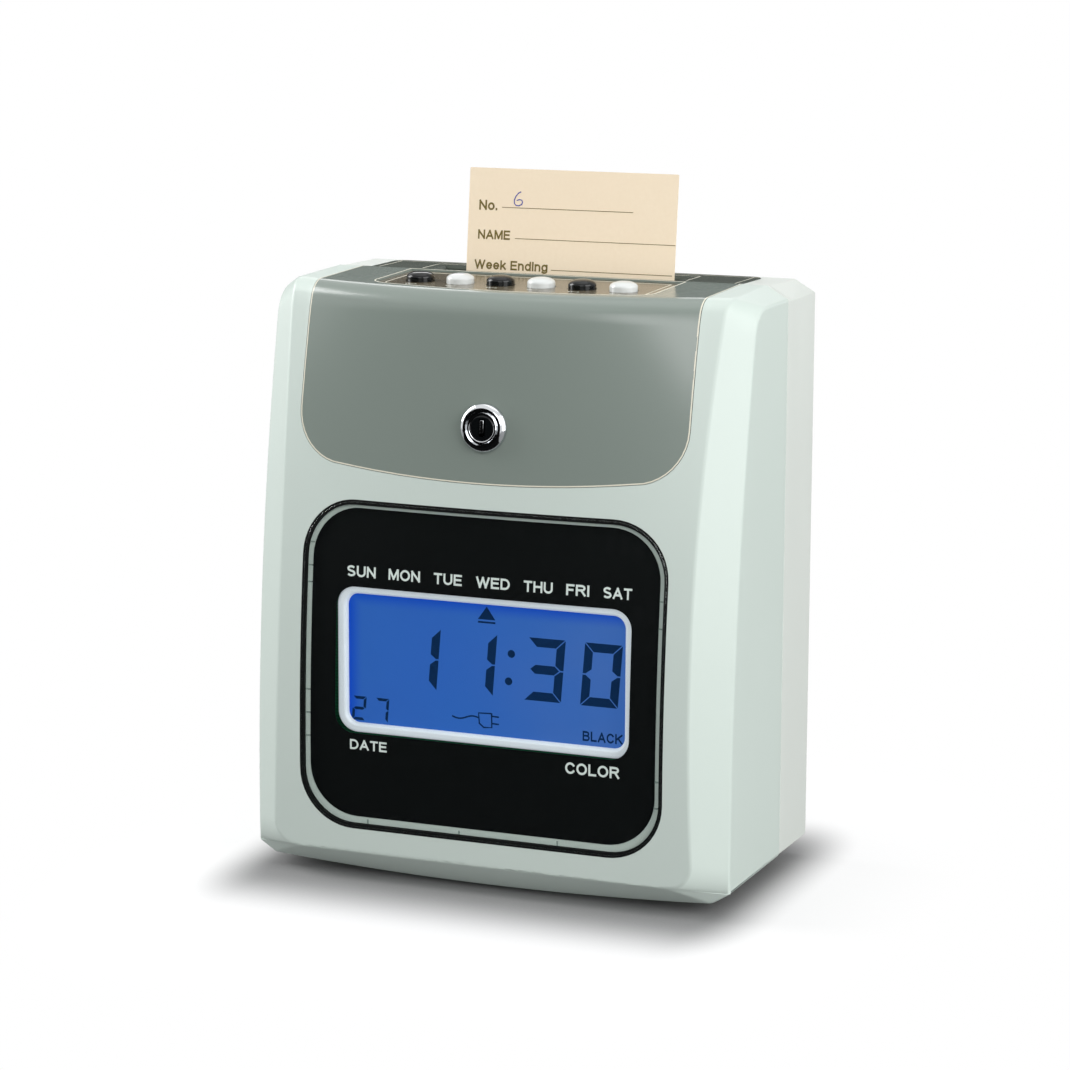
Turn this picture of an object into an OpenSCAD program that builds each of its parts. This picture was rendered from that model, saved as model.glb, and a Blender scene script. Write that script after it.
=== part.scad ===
// Electronic time clock with a top card slot, six keys, a keyed drop-front cover and a card printer
// X runs to the right as seen from the front, -Y is the front and Z is up. The feet stand on z = 0

/* [Case] */
// Width over the side walls
body_w = 194; // [180:1:220]
// Depth from the foremost point of the front to the back wall
body_d = 104; // [100:1:120]
// Height of the crest where the cover meets the rear case
crest_z = 228.6; // [222:0.2:240]
// Depth of the rear case behind the side seam
rear_d = 36; // [34:1:44]
// Thickness of the moulded cover
wall = 3.4; // [2.8:0.1:4]
// Thickness of the rear case
rear_wall = 2.6; // [2:0.1:3.4]
// Gap along the seam between the cover and the rear case
seam_gap = 0.4; // [0.3:0.1:1]
// Height of the side walls' lower edge above the table
side_z = 9; // [8:0.5:12]
// Slope of the top from the crest down to the front edge, in degrees
top_slope = 1.6; // [0:0.2:4]
// Radius of the front top edge
brow_r = 9; // [5:0.5:12]

/* [Front] */
// Height at which the front bulges furthest forward
bulge_z = 47; // [30:1:70]
// Bow radius of the front along its middle
mid_r = 1360; // [900:10:2500]
// Bow radius of the front along its side edges
edge_r = 627; // [500:1:800]
// Half width at which the edge bow holds
edge_x = 84; // [76:1:90]
// Height of the lower edge of the front face
face_z = 11.5; // [10.5:0.5:14]
// Radius of the lower corners of the front face
face_corner = 10; // [6:0.5:14]
// Lowest point of the crowned bottom edge
crown_z = 1.6; // [1:0.1:3]
// Rise of the crowned bottom edge towards its ends
crown_rise = 3; // [1:0.5:5]
// Depth of the lower front chamfer
chin_d = 10.7; // [8:0.1:13]
// Bow radius of the side chamfers
cheek_r = 880; // [700:10:1200]
// Depth of the side chamfer taken per millimetre of its width
cheek_q = 0.86; // [0.7:0.02:1.1]
// Width of the chamfer along the top sides
shoulder_w = 8.5; // [6:0.5:12]
// Drop of the chamfer along the top sides
shoulder_h = 5; // [3:0.5:8]
// Radius of the side wall's upper front corner
shoulder_r = 13; // [8:1:18]

/* [Fascia and lens] */
// Half width of the grey fascia
fascia_x = 78.5; // [70:0.5:80]
// Height of the fascia's lower edge at its middle
fascia_z = 157; // [154:0.5:162]
// Rise of the fascia's lower edge out to its corners
fascia_rise = 3.4; // [1:0.2:5]
// Corner radius of the fascia
fascia_r = 20; // [12:1:26]
// Thickness of the fascia
fascia_t = 1.8; // [1.4:0.1:2]
// Clearance round and under trim pieces
trim_gap = 0.2; // [0.15:0.05:0.4]
// Groove round the lens
lens_gap = 0.5; // [0.3:0.1:0.8]
// Half width of the display lens
lens_x = 73.5; // [66:0.5:75]
// Lower edge of the lens
lens_z = 21.3; // [18:0.1:26]
// Height of the lens
lens_h = 125.8; // [118:0.2:128]
// Corner radius of the lens
lens_r = 21.5; // [12:0.5:26]
// Thickness of the lens
lens_t = 2; // [1.6:0.1:2.2]
// Width of the ledge that carries the lens
ledge_w = 6; // [4:0.5:8]

/* [Display] */
// Width of the display bezel
bezel_w = 120.6; // [110:0.2:126]
// Height of the display bezel
bezel_h = 57.3; // [50:0.1:62]
// Lower edge of the display bezel
bezel_z = 57.4; // [52:0.1:64]
// Width of the visible display
glass_w = 113; // [100:0.5:116]
// Height of the visible display
glass_h = 50.3; // [44:0.1:54]
// Distance of the bezel's front behind the foremost front face
bezel_back = 5.6; // [5:0.1:7]
// Depth of the bezel
bezel_t = 6; // [4:0.5:8]
// Depth of the display module behind the bezel
module_t = 4; // [3:0.5:6]
// Thickness of every circuit board
board_t = 1.6; // [1:0.1:2]

/* [Keys] */
// Number of keys
key_count = 6; // [6:1:6]
// Diameter of a key
key_d = 10.6; // [9:0.1:12]
// Distance between keys
key_pitch = 16.56; // [15.6:0.02:18]
// Distance of the keys in front of the crest
key_back = 26.5; // [22:0.5:29]
// Height of the domed key cap over the tray
key_h = 3.6; // [3:0.2:5]
// Travel of a key
key_travel = 1.2; // [0.8:0.1:1.4]
// Radial clearance of a key in its holes
key_gap = 0.3; // [0.2:0.05:0.4]
// Half width of the key tray
tray_x = 56; // [53:0.5:60]
// Depth of the key tray below the top
tray_t = 0.7; // [0.3:0.1:0.9]
// Length of the key tray from the crest forward
tray_l = 46; // [40:0.5:48]

/* [Lock] */
// Height of the lock
lock_z = 178; // [174:0.5:184]
// Diameter of the chrome lock flange
lock_flange_d = 18.6; // [16:0.2:22]
// Diameter of the lock barrel
lock_d = 14; // [12:0.2:16]
// Diameter of the turning plug
plug_d = 9.6; // [8:0.2:10.4]
// Length of the lock barrel behind the flange
lock_l = 17; // [15:0.5:20]
// Length of the cam from its axis to its tip
cam_l = 20; // [17:0.5:24]
// Radial running clearance of pins and shafts
run_gap = 0.05; // [0.03:0.01:0.1]

/* [Hinge] */
// Height of the cover hinge axis
hinge_z = 10.5; // [10:0.1:11]
// Distance of the hinge axis behind the foremost front face
hinge_back = 12; // [11:0.5:14]
// Diameter of a hinge pin
hinge_d = 4; // [3:0.2:4.6]
// Distance of each hinge from the middle
hinge_x = 60; // [50:1:70]
// Length of the cover's hinge knuckle
knuckle_l = 8; // [6:0.5:12]

/* [Card] */
// Width of the time card
card_w = 86; // [80:0.5:90]
// Length of the time card
card_l = 187; // [180:1:190]
// Thickness of the time card
card_t = 0.4; // [0.3:0.05:0.6]
// Part of the card that stands out of the slot
card_out = 40; // [30:1:60]
// Distance of the card behind the seam at the top
card_back = 6; // [5:0.5:8]
// Backward lean of the card, in degrees
card_lean = 6; // [4:0.5:7]
// Right edge of the card from the middle of the case
card_edge = 49.4; // [46:0.2:50]
// Width of the card slot's mouth
slot_w = 100; // [97:0.5:102]
// Depth of the card slot's mouth from front to back
slot_d = 14; // [11:0.5:16]
// Gap between the card and each guide face
card_gap = 1.1; // [0.8:0.1:1.6]
// Side clearance of the card in its guide
card_side = 0.3; // [0.2:0.05:0.6]
// How far the card can be pushed below its rest
card_dip = 12; // [6:1:16]
// Thickness of the card guides
guide_t = 1.8; // [1.6:0.1:2]

/* [Printer] */
// Distance of the print line below the deck, along the card
print_w = -76; // [-80:1:-72]
// Distance of the feed roller below the deck, along the card
feed_w = -126; // [-132:1:-122]
// Distance of the side frames from the middle
frame_x = 69; // [68.5:0.5:72]
// Thickness of the side frames
frame_t = 1.5; // [1.2:0.1:2]
// Diameter of the carriage guide shaft
shaft_d = 6; // [5:0.2:7]
// Diameter of the lead screw
screw_d = 6; // [5:0.2:7]
// Diameter of the feed roller tyres
feed_d = 14; // [12:0.5:16]
// Diameter of the pinch rollers
pinch_d = 10; // [8:0.5:12]
// Width of a roller
roller_l = 14; // [10:1:18]
// Diameter of the feed shaft
axle_d = 5; // [4:0.2:6]
// Diameter of the pinch roller shaft
pinch_axle_d = 4; // [3:0.2:4]
// Gear module
gear_m = 0.8; // [0.8:0.05:0.9]
// Teeth of the driven gears
gear_n = 30; // [24:1:32]
// Teeth of the motor pinions
pinion_n = 12; // [10:1:14]
// Face width of the gears
gear_t = 4; // [3:0.5:5]
// Diameter of the ribbon knob
knob_d = 14; // [10:0.5:18]

/* [Base] */
// Thickness of the steel base plate
plate_t = 1.5; // [1.2:0.1:2]
// Height of the moulded floor's underside
floor_z = 9.4; // [9:0.1:9.8]
// Diameter of a rubber foot
foot_d = 14; // [10:0.5:18]
// Distance of each foot from the middle
foot_x = 74; // [60:1:80]
// Distance between the keyholes for wall screws
key_hole_x = 100; // [80:1:120]
// Height of the keyholes for wall screws
key_hole_z = 196; // [185:1:200]
// Distance between the lower wall screw holes
screw_hole_x = 166; // [160:1:172]
// Height of the lower wall screw holes
screw_hole_z = 24; // [20:1:30]
// Diameter of the lower wall screw holes
screw_hole_d = 4.6; // [4:0.1:5.2]

/* [Hidden] */
$fn = 48;

// Datum places of the case
front = -body_d / 2;
back = body_d / 2;
seam = back - rear_d;
half = body_w / 2;
cheek_y = front + chin_d;
cheek_z = 25;
sill_y = cheek_y + 3.2;
deck_drop = 0.6;
deck_z = crest_z - deck_drop;
top_step = 5;
case_r = 4;
roof_t = 4.4;
rim_l = 3;
rim_t = 2;
floor_top = floor_z + rear_wall;

// How much of a skin's inset reaches the chamfers, the sides, the top and the lower edge
chamfer_share = 0.42;
side_share = 0.3;
shoulder_share = 0.6;
low_share = 0.4;
chin_inset = 7;

// Small screws with their pilot and free holes
bolt_d = 2.4;
bolt_l = 6;
bolt_head_d = 5.4;
bolt_head_h = 1.8;
pilot_d = 2.5;
free_d = 2.8;
flange_hole_d = 3.2;

// Card plane
card_y = seam + card_back;
card_x = card_edge - card_w / 2;
card_left = card_edge - card_w;
slot_y = card_y - 2;
slot_rim = 1;
stop_w = card_out - card_l - card_dip - 1;
guide_front = -card_gap - guide_t;
guide_rear = card_t + card_gap;
mouth_w = -wall - rim_t - 0.8;
rail_t = 3;
stop_lip = 8;

// Hinge
hinge_y = front + hinge_back;
knuckle_r = hinge_d / 2 + 2.3;
ear_t = 4;
ear_gap = 0.4;
pan_front = hinge_y + 12;
pan_x = half - wall - 1.1;
skirt_x = half - wall + 0.3;

// Display board with its posts and chips
board_y = front + bezel_back + bezel_t + module_t;
board_x = lens_x + 0.5;
board_z0 = lens_z + 5;
board_z1 = lens_z + lens_h - 4;
post_d = 6;
post_x = lens_x - 2.5;
post_z0 = lens_z + 10;
post_z1 = lens_z + lens_h - 9;
glass_lap = 1.8;
glass_t = 2.6;
chip_w = 20;
chip_t = 2.2;

// Key stems and switches
key_post_x = tray_x - 3;
key_rim = 0.8;
key_lip = 1.3;
key_flange_top = -wall - 0.3;
key_flange_t = 1.2;
key_stem_d = 4;
key_stem_z = key_flange_top - key_flange_t - 0.6;
switch_top = key_stem_z - key_travel - 0.3;
switch_w = 6;
switch_h = 3.5;
plunger_d = 3.4;
plunger_h = 0.5;
key_board_z = switch_top - plunger_h - switch_h;
key_board_x = tray_x + 2;
key_board_w = 18;
tray_corner = 10;
tray_bow = 5;

// Lock
lock_tilt = atan((lock_z - bulge_z) / mid_r);
lock_y = front_y(0, lock_z);
plug_front = -2.2;
slot_l = 6.6;
keyway_w = 2.6;
tail_d = 6;
cam_t = 2;
cam_hub_d = 13;
cam_w = 10;
cam_gap = 0.6;
cam_z = lock_l + 0.2;
lock_flat = 0.8;
nut_d = 22;
nut_h = 4;
nut_gap = 0.45;
tab_t = 1.5;
tab_w = 30;
tab_z = lock_d / 2 + 2.5;

// Side frames and base plate
plate_z = floor_top + 0.2;
plate_top = plate_z + plate_t;
plate_x = pan_x - 4;
frame_top = 204;
frame_front = front_y(frame_x + frame_t, frame_top) + wall + 3;
frame_waist = seam - 36;
frame_back = seam + 18;
bridge_w = 16;
flange_w = 11;
flange_x = frame_x + 6;
screw_y = [pan_front + 16, seam + 10];
foot_y = [pan_front + 13, back - 14];
foot_bevel = 1.5;
inner_x = frame_x - 0.2;

// Printer
window_x = 63;
window_h = 11.5;
ribbon_t = 0.25;
ribbon_v = -card_gap - 0.6;
ribbon_h = 12;
arm_x = 56;
arm_t = 6;
shaft_v = -15;
shaft_w = print_w - 10;
screw_v = -19;
screw_w = print_w + 10;
carriage_w = 24;
carriage_rim = 6;
head_w = 16;
head_l = 6;
platen_v = 8;
platen_bar_t = 4;
platen_end = 5;
feed_v = -feed_d / 2 - 0.3;
pinch_v = card_t + 0.3 + pinch_d / 2;
roller_x = [-18, 32];
pack_rise = 18;
pack_h = 22;
pack_w0 = print_w + pack_rise;
pack_w1 = pack_w0 + pack_h;
pack_v0 = -26;
pack_v1 = -8;
knob_x = 45;
knob_l = 6;
knob_stem_d = 4;
gear_r = gear_m * gear_n / 2;
pinion_r = gear_m * pinion_n / 2;
mesh = gear_r + pinion_r + 0.1;
mesh_side = mesh / sqrt(2);
gear_x = frame_x + frame_t + 0.6;
motor_d = 18;
motor_l = 14;
pin_d = 3;

// Main board, battery, buzzer and inlet
main_board_y = back - rear_wall - 4 - board_t;
main_board_x = 62;
main_board_z0 = 62;
main_board_z1 = 184;
stand_d = 7;
stand_in = 6;
stand_x = main_board_x - 5;
stand_z = [main_board_z0 + stand_in, main_board_z1 - stand_in];
cpu_w = 22;
relay_w = 12;
cap_d = 10;
cap_l = 13;
header_w = 24;
header_t = 8;
buzzer_d = 24;
buzzer_t = 8;
battery_d = 14.4;
battery_l = 50;
battery_x = -main_board_x + 7;
battery_y = back - 43;
jack_w = 10;
jack_l = 14;
jack_d = 8;
jack_bore = 5.6;
jack_pin_d = 2;
inlet_x = 30;
inlet_z = 34;
deck_x = fascia_x - 1.5;
deck_back = back - 5;
deck_t = 2;

// Section of the front face: the bow is flatter in the middle than along the side edges
function bow_r(x) = 1 / (1 / mid_r + (1 / edge_r - 1 / mid_r) * pow(min(abs(x), edge_x) / edge_x, 2));
function front_y(x, z) = front + pow(z - bulge_z, 2) / (2 * bow_r(x));
function cheek(z) = cheek_y + pow(z - cheek_z, 2) / (2 * cheek_r);
function corner_in(z) = z < face_z + face_corner
    ? face_corner - sqrt(pow(face_corner, 2) - pow(face_z + face_corner - z, 2)) : 0;
function face_x(z) = half - (cheek(z) - front_y(edge_x, z)) / cheek_q - corner_in(z);
function top_z(y) = crest_z - (seam - y) * tan(top_slope);

// Fillet of radius r at corner k = [y, z] between a face that leans a degrees and a top that slopes b
function fillet(k, r, a, b, t) = let (
    l = r * tan((90 - a - b) / 2),
    o = [k[0] + l * cos(b) + r * sin(b), k[1] + l * sin(b) - r * cos(b)],
    f = a + (90 - a - b) * t)
    [o[0] - r * cos(f), o[1] + r * sin(f)];

// One point of the case surface: s picks the place along the section and u the place across
face_top = crest_z - brow_r - 2;
face_steps = 7;
corner_steps = 4;
brow_steps = 5;
across_steps = 6;
function face_level(j) = j <= corner_steps
    ? face_z + face_corner * (1 - cos(90 * j / corner_steps))
    : face_z + face_corner + (face_top - face_z - face_corner) * (j - corner_steps) / face_steps;
function brow_x(t) = face_x(face_top) * (1 - t) + (half - shoulder_w) * t;

function section_point(j, u, o, rear) = let (
    last = corner_steps + face_steps,
    in_face = j >= 2 && j <= last + 2,
    z = in_face ? face_level(j - 2) : 0,
    t = (j - last - 2) / brow_steps,
    w = in_face ? face_x(z) - chamfer_share * o : brow_x(min(max(t, 0), 1)) - side_share * o,
    x = abs(u) <= 1 ? u * w : 0,
    k = [front_y(x, crest_z) , top_z(front_y(x, crest_z))],
    a = atan((crest_z - bulge_z) / bow_r(x)),
    p = fillet(k, brow_r, a, top_slope, min(max(t, 0), 1)))
    j < 2 ? let (xb = u * (half - chin_inset - side_share * o), y = j == 0 ? rear : cheek_y + chamfer_share * o)
        [xb, y, crown_z + o + crown_rise * u * u]
    : in_face ? [x, front_y(x, z) + o, z + chamfer_share * o * max(0, 1 - (z - face_z) / face_corner)]
    : t <= 1 ? [x, p[0] + o * cos(a * (1 - t)) * (1 - t), p[1] - o * t]
    : [x, rear, top_z(rear) - o];

function side_point(j, s, o, rear) = let (
    last = corner_steps + face_steps,
    t = (j - last - 2) / brow_steps,
    top = crest_z - shoulder_h - shoulder_share * o,
    k = [cheek(top) + chamfer_share * o, top],
    a = atan((top - cheek_z) / cheek_r),
    end = fillet(k, shoulder_r, a, 0, 0)[1],
    low = side_z + low_share * o,
    z = low + (end - low) * (face_level(j - 2) - face_z) / (face_level(last) - face_z))
    j == 0 ? [s * (half - o), rear, low]
    : j < 3 ? [s * (half - o), cheek_y + chamfer_share * o, low]
    : j <= last + 2 ? [s * (half - o), cheek(z) + chamfer_share * o, z]
    : t <= 1 ? let (p = fillet(k, shoulder_r, a, 0, t)) [s * (half - o), p[0], p[1]]
    : [s * (half - o), rear, top];

// Solid case front with its skin set in by o, closed by a plane at the given depth
module case_front(o, rear = seam) {
    m = corner_steps + face_steps + brow_steps + 3;
    n = 2 * across_steps;
    rows = concat(
        [[for (j = [0:m]) side_point(j, -1, o, rear)]],
        [for (i = [0:n]) [for (j = [0:m]) section_point(j, (i - across_steps) / across_steps, o, rear)]],
        [[for (j = [0:m]) side_point(j, 1, o, rear)]]);
    pts = [for (row = rows) each row];
    count = n + 3;
    // The chin and the side chamfer end in one point of the side wall, so its second and third point are one
    function is_side(i) = i == 0 || i == count - 1;
    function id(i, j) = i * (m + 1) + (is_side(i) && j == 2 ? 1 : j);
    skin = [for (i = [0:count - 2]) for (j = [0:m - 1]) each [
        if (!(is_side(i) && j == 1)) [id(i, j), id(i, j + 1), id(i + 1, j + 1)],
        if (!(is_side(i + 1) && j == 1)) [id(i, j), id(i + 1, j + 1), id(i + 1, j)]]];
    plug = [concat([for (i = [0:count - 1]) id(i, 0)], [for (i = [count - 1:-1:0]) id(i, m)])];
    ends = [for (j = [1:m - 1]) if (j != 1) each [
        [id(0, 0), id(0, j + 1), id(0, j)], [id(count - 1, 0), id(count - 1, j), id(count - 1, j + 1)]]];
    polyhedron(pts, concat(skin, plug, ends), convexity = 6);
}

// Lays a flat outline drawn in X and Z between two depths
module along_y(y0, y1) {
    translate([0, y1, 0]) rotate([90, 0, 0]) linear_extrude(y1 - y0) children();
}
// Lays a flat outline drawn in Y and Z between two places across
module along_x(x0, x1) {
    translate([x0, 0, 0]) rotate([90, 0, 90]) linear_extrude(x1 - x0) children();
}
// Rounded rectangle about the middle
module rounded(w, h, r) {
    square([w - 2 * r, h], center = true);
    square([w, h - 2 * r], center = true);
    for (x = [-1, 1], y = [-1, 1]) translate([x * (w / 2 - r), y * (h / 2 - r)]) circle(r);
}
module in_key_frame() {
    translate([0, seam, crest_z]) rotate([top_slope, 0, 0]) translate([0, -key_back, 0]) children();
}
function key_place(i) = (i - (key_count - 1) / 2) * key_pitch;
module at_keys() {
    for (i = [0:key_count - 1]) in_key_frame() translate([key_place(i), 0, 0]) children();
}
module in_lock_frame() {
    translate([0, lock_y, lock_z]) rotate([-lock_tilt, 0, 0]) rotate([-90, 0, 0]) children();
}
// Card frame: X across, Y square to the card and Z along it, from the card's plane at deck level
module in_card_frame() {
    translate([0, card_y, deck_z]) rotate([-card_lean, 0, 0]) children();
}
// A bar between two X places at a point of the card frame
module card_rod(x0, x1, v, w, r) {
    in_card_frame() translate([x0, v, w]) rotate([0, 90, 0]) cylinder(x1 - x0, r = r);
}
module card_box(x0, x1, v0, v1, w0, w1) {
    in_card_frame() translate([x0, v0, w0]) cube([x1 - x0, v1 - v0, w1 - w0]);
}

function fascia_outline(g) = let (
    xb = fascia_x - fascia_r,
    zc = fascia_z + fascia_rise + fascia_r)
    concat(
        [for (i = [-8:8]) [xb * i / 8, fascia_z + fascia_rise * pow(i / 8, 2) - g]],
        [for (a = [12:13:90]) [xb + (fascia_r + g) * sin(a), zc - (fascia_r + g) * cos(a)]],
        [[fascia_x + g, crest_z + 20], [-fascia_x - g, crest_z + 20]],
        [for (a = [90:-13:12]) [-xb - (fascia_r + g) * sin(a), zc - (fascia_r + g) * cos(a)]]);

// Plan of the key tray, drawn forward from the crest
function tray_outline(g) = let (
    xr = tray_x - tray_corner,
    y = 13 - tray_l,
    r = tray_corner + g)
    concat(
        [[-tray_x - g, -2 + g], [-tray_x - g, y]],
        [for (a = [15:15:75]) [-xr - r * cos(a), y - r * sin(a) * 0.8]],
        [for (i = [-6:6]) [xr * i / 6, y - tray_corner * 0.8 - g - tray_bow * (1 - pow(i / 6, 2))]],
        [for (a = [75:-15:15]) [xr + r * cos(a), y - r * sin(a) * 0.8]],
        [[tray_x + g, y], [tray_x + g, -2 + g]]);

module lens_outline(g) {
    translate([0, lens_z + lens_h / 2]) rounded(2 * lens_x + 2 * g, lens_h + 2 * g, lens_r + g);
}

module display_posts(d, y0, y1) {
    for (x = [-1, 1], z = [post_z0, post_z1]) along_y(y0, y1) translate([x * post_x, z]) circle(d = d);
}
module key_posts(d, z0, z1) {
    in_key_frame() for (x = [-1, 1]) translate([x * key_post_x, 0, z0]) cylinder(z1 - z0, d = d);
}
module hinge_bar(x0, x1, d) {
    translate([x0, hinge_y, hinge_z]) rotate([0, 90, 0]) cylinder(x1 - x0, d = d);
}

// Places of the case's ears on both sides of each cover knuckle, from their left ends
ears = [for (s = [-1, 1], e = [-1, 1]) s * hinge_x + e * (knuckle_l / 2 + ear_gap) + (e < 0 ? -ear_t : 0)];
// Bores and their clearance through the fascia and the cover
module cover_bores() {
    at_keys() translate([0, 0, -8]) cylinder(16, d = key_d + 2 * key_gap);
    in_lock_frame() translate([0, 0, -6]) cylinder(16, d = lock_d + 2 * trim_gap);
}
// A recess of the given depth that follows the front face inside an outline
module face_recess(depth, y1) {
    difference() {
        along_y(front - 5, y1) children();
        case_front(depth, seam + 4);
    }
}

module front_cover() {
    color("#d3dcd6") difference() {
        union() {
            difference() {
                case_front(0, seam + 6);
                case_front(wall, seam + 7);
                translate([-half - 1, seam, -1]) cube([body_w + 2, 20, crest_z + 5]);
                face_recess(fascia_t + trim_gap, seam + 1) polygon(fascia_outline(trim_gap));
                face_recess(lens_t + trim_gap, front + 15) lens_outline(lens_gap);
                along_y(front - 5, front + 20) lens_outline(-ledge_w);
                translate([-skirt_x, sill_y, -1]) cube([2 * skirt_x, body_d, floor_top + 1]);
                for (x = ears) {
                    hinge_bar(x - ear_gap, x + ear_t + ear_gap, 2 * (knuckle_r + ear_gap));
                    translate([x - ear_gap, sill_y - 0.7, -1])
                        cube([ear_t + 2 * ear_gap, 2, floor_top + 1]);
                }
            }
            intersection() {
                case_front(wall - 0.5);
                union() {
                    display_posts(post_d, front, board_y);
                    key_posts(post_d, key_board_z, 0);
                    for (s = [-1, 1]) translate([s * hinge_x - knuckle_l / 2, hinge_y - knuckle_r, 0])
                        cube([knuckle_l, knuckle_r + 1.8, hinge_z]);
                }
            }
            for (s = [-1, 1])
                hinge_bar(s * hinge_x - knuckle_l / 2, s * hinge_x + knuckle_l / 2, 2 * knuckle_r);
        }
        for (s = [-1, 1]) hinge_bar(s * hinge_x - 20, s * hinge_x + 20, hinge_d + 2 * run_gap);
        display_posts(pilot_d, board_y - bolt_l, board_y + 1);
        key_posts(pilot_d, key_board_z - 1, key_board_z + 5);
        cover_bores();
    }
}

module fascia() {
    color("#85918a") difference() {
        intersection() {
            case_front(0);
            along_y(front - 5, seam) polygon(fascia_outline(0));
        }
        case_front(fascia_t, seam + 4);
        translate([0, seam, crest_z]) rotate([top_slope, 0, 0]) translate([0, 0, -tray_t])
            linear_extrude(5) polygon(tray_outline(0));
        cover_bores();
    }
}

module display_lens() {
    color("#1c2423") intersection() {
        difference() {
            case_front(0);
            case_front(lens_t, seam + 4);
        }
        along_y(front - 5, front + 20) lens_outline(0);
    }
}

module display_outline(w, h, r) {
    translate([0, bezel_z + bezel_h / 2]) rounded(w, h, r);
}

// White frame with a rebate behind for the display and a bevel round its opening
module display_bezel() {
    y0 = front + bezel_back;
    bevel = 1.2;
    color("#eef0ee") difference() {
        along_y(y0, board_y) display_outline(bezel_w, bezel_h, 8);
        along_y(y0 - 1, board_y + 1) display_outline(glass_w, glass_h, 3);
        along_y(y0 + 2, board_y + 1) display_outline(glass_w + 2 * glass_lap + 0.4,
            glass_h + 2 * glass_lap + 0.4, 2);
        hull() {
            along_y(y0 - 0.01, y0) display_outline(glass_w + 2 * bevel, glass_h + 2 * bevel, 4, $fn = 32);
            along_y(y0 + bevel, y0 + bevel + 0.01) display_outline(glass_w, glass_h, 3, $fn = 32);
        }
    }
}

module display_glass() {
    y0 = front + bezel_back + 2.2;
    color("#3061a9") along_y(y0, y0 + glass_t)
        display_outline(glass_w + 2 * glass_lap, glass_h + 2 * glass_lap, 1);
}

module display_module() {
    y0 = front + bezel_back + 2.2 + glass_t + 0.2;
    color("#c9ced0") along_y(y0, board_y)
        display_outline(glass_w + 2 * glass_lap - 0.2, glass_h + 2 * glass_lap - 0.2, 1);
}

module display_board() {
    color("#1f6b45") difference() {
        translate([-board_x, board_y, board_z0]) cube([2 * board_x, board_t, board_z1 - board_z0]);
        display_posts(free_d, board_y - 1, board_y + board_t + 1);
    }
    color("#222426") {
        for (x = [-2, 0]) translate([x * chip_w, board_y + board_t, board_z0 + chip_w * 0.3])
            cube([chip_w, chip_t, chip_w * 0.7]);
        translate([chip_w, board_y + board_t, board_z1 - chip_w]) cube([chip_w * 1.2, chip_t, chip_w * 0.4]);
    }
}

module switch_board() {
    color("#1f6b45") in_key_frame() difference() {
        translate([-key_board_x, -key_board_w / 2, key_board_z - board_t])
            cube([2 * key_board_x, key_board_w, board_t]);
        for (x = [-1, 1]) translate([x * key_post_x, 0, key_board_z - board_t - 1])
            cylinder(board_t + 2, d = free_d);
    }
}

module key_switches() {
    color("#26282a") at_keys() {
        translate([-switch_w / 2, -switch_w / 2, key_board_z]) cube([switch_w, switch_w, switch_h]);
        translate([0, 0, key_board_z + switch_h]) cylinder(plunger_h, d = plunger_d);
    }
}

// Pan-head screw with its head's underside at the origin and its shank down -Z
module pan_screw(l) {
    recess_l = bolt_head_d / 2;
    recess_w = bolt_d / 3;
    difference() {
        union() {
            translate([0, 0, -l]) cylinder(l, d = bolt_d);
            cylinder(bolt_head_h, d1 = bolt_head_d, d2 = bolt_head_d * 0.8);
        }
        for (a = [0, 90]) rotate(a) translate([-recess_l / 2, -recess_w / 2, bolt_head_h / 2])
            cube([recess_l, recess_w, bolt_head_h]);
    }
}

module cover_screws() {
    color("#b9bdc0") {
        for (x = [-1, 1], z = [post_z0, post_z1]) translate([x * post_x, board_y + board_t, z])
            rotate([-90, 0, 0]) pan_screw(bolt_l);
        in_key_frame() for (x = [-1, 1]) translate([x * key_post_x, 0, key_board_z - board_t])
            rotate([180, 0, 0]) pan_screw(bolt_l);
    }
}

// Domed cap, retaining flange and stem of one key, its cap standing key_h over the tray
module key(i) {
    r = key_d / 2;
    low = key_flange_top - key_flange_t;
    dome = key_h - tray_t - key_rim;
    color(i % 2 == 0 ? "#17191a" : "#eceeed")
    in_key_frame() translate([key_place(i), 0, 0]) {
        rotate_extrude() polygon(concat(
            [[0, low], [r + key_lip, low], [r + key_lip, key_flange_top], [r, key_flange_top]],
            [for (a = [0:10:90]) [r * cos(a), key_rim + dome * sin(a)]]));
        translate([0, 0, key_stem_z]) cylinder(1, d = key_stem_d);
    }
}

// Chrome flange turned as one ring with a groove, and the threaded barrel with two flats behind it
module lock_barrel() {
    r = lock_flange_d / 2;
    bore = plug_d / 2 + run_gap;
    lip = 1;
    roll = 2;
    seat = -0.15;
    color("#c8cbce") in_lock_frame() difference() {
        rotate_extrude() polygon(concat(
            [[bore, -2], [bore + lip, -2.3], [bore + lip, -1.4], [bore + lip + 0.8, -1.4]],
            [for (a = [90:-15:0]) [r - roll + roll * cos(a), seat - 2.3 * sin(a)]],
            [[lock_d / 2, seat], [lock_d / 2, lock_l], [bore, lock_l]]));
        for (s = [0, 1]) mirror([s, 0, 0]) translate([lock_d / 2 - lock_flat, -lock_d, wall + 0.1])
            cube([lock_d, 2 * lock_d, lock_l]);
    }
}

module lock_nut() {
    color("#b5b8ba") in_lock_frame() translate([0, 0, wall + nut_gap]) difference() {
        cylinder(nut_h, d = nut_d, $fn = 6);
        translate([0, 0, -1]) cylinder(nut_h + 2, d = lock_d + 0.1);
    }
}

module lock_plug() {
    color("#1a1c1d") in_lock_frame() difference() {
        union() {
            translate([0, 0, plug_front]) cylinder(cam_z - plug_front, d = plug_d);
            cylinder(cam_z + cam_gap + cam_t, d = tail_d);
        }
        translate([-keyway_w / 2, -slot_l / 2, plug_front - 1]) cube([keyway_w, slot_l, 7]);
    }
}

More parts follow.
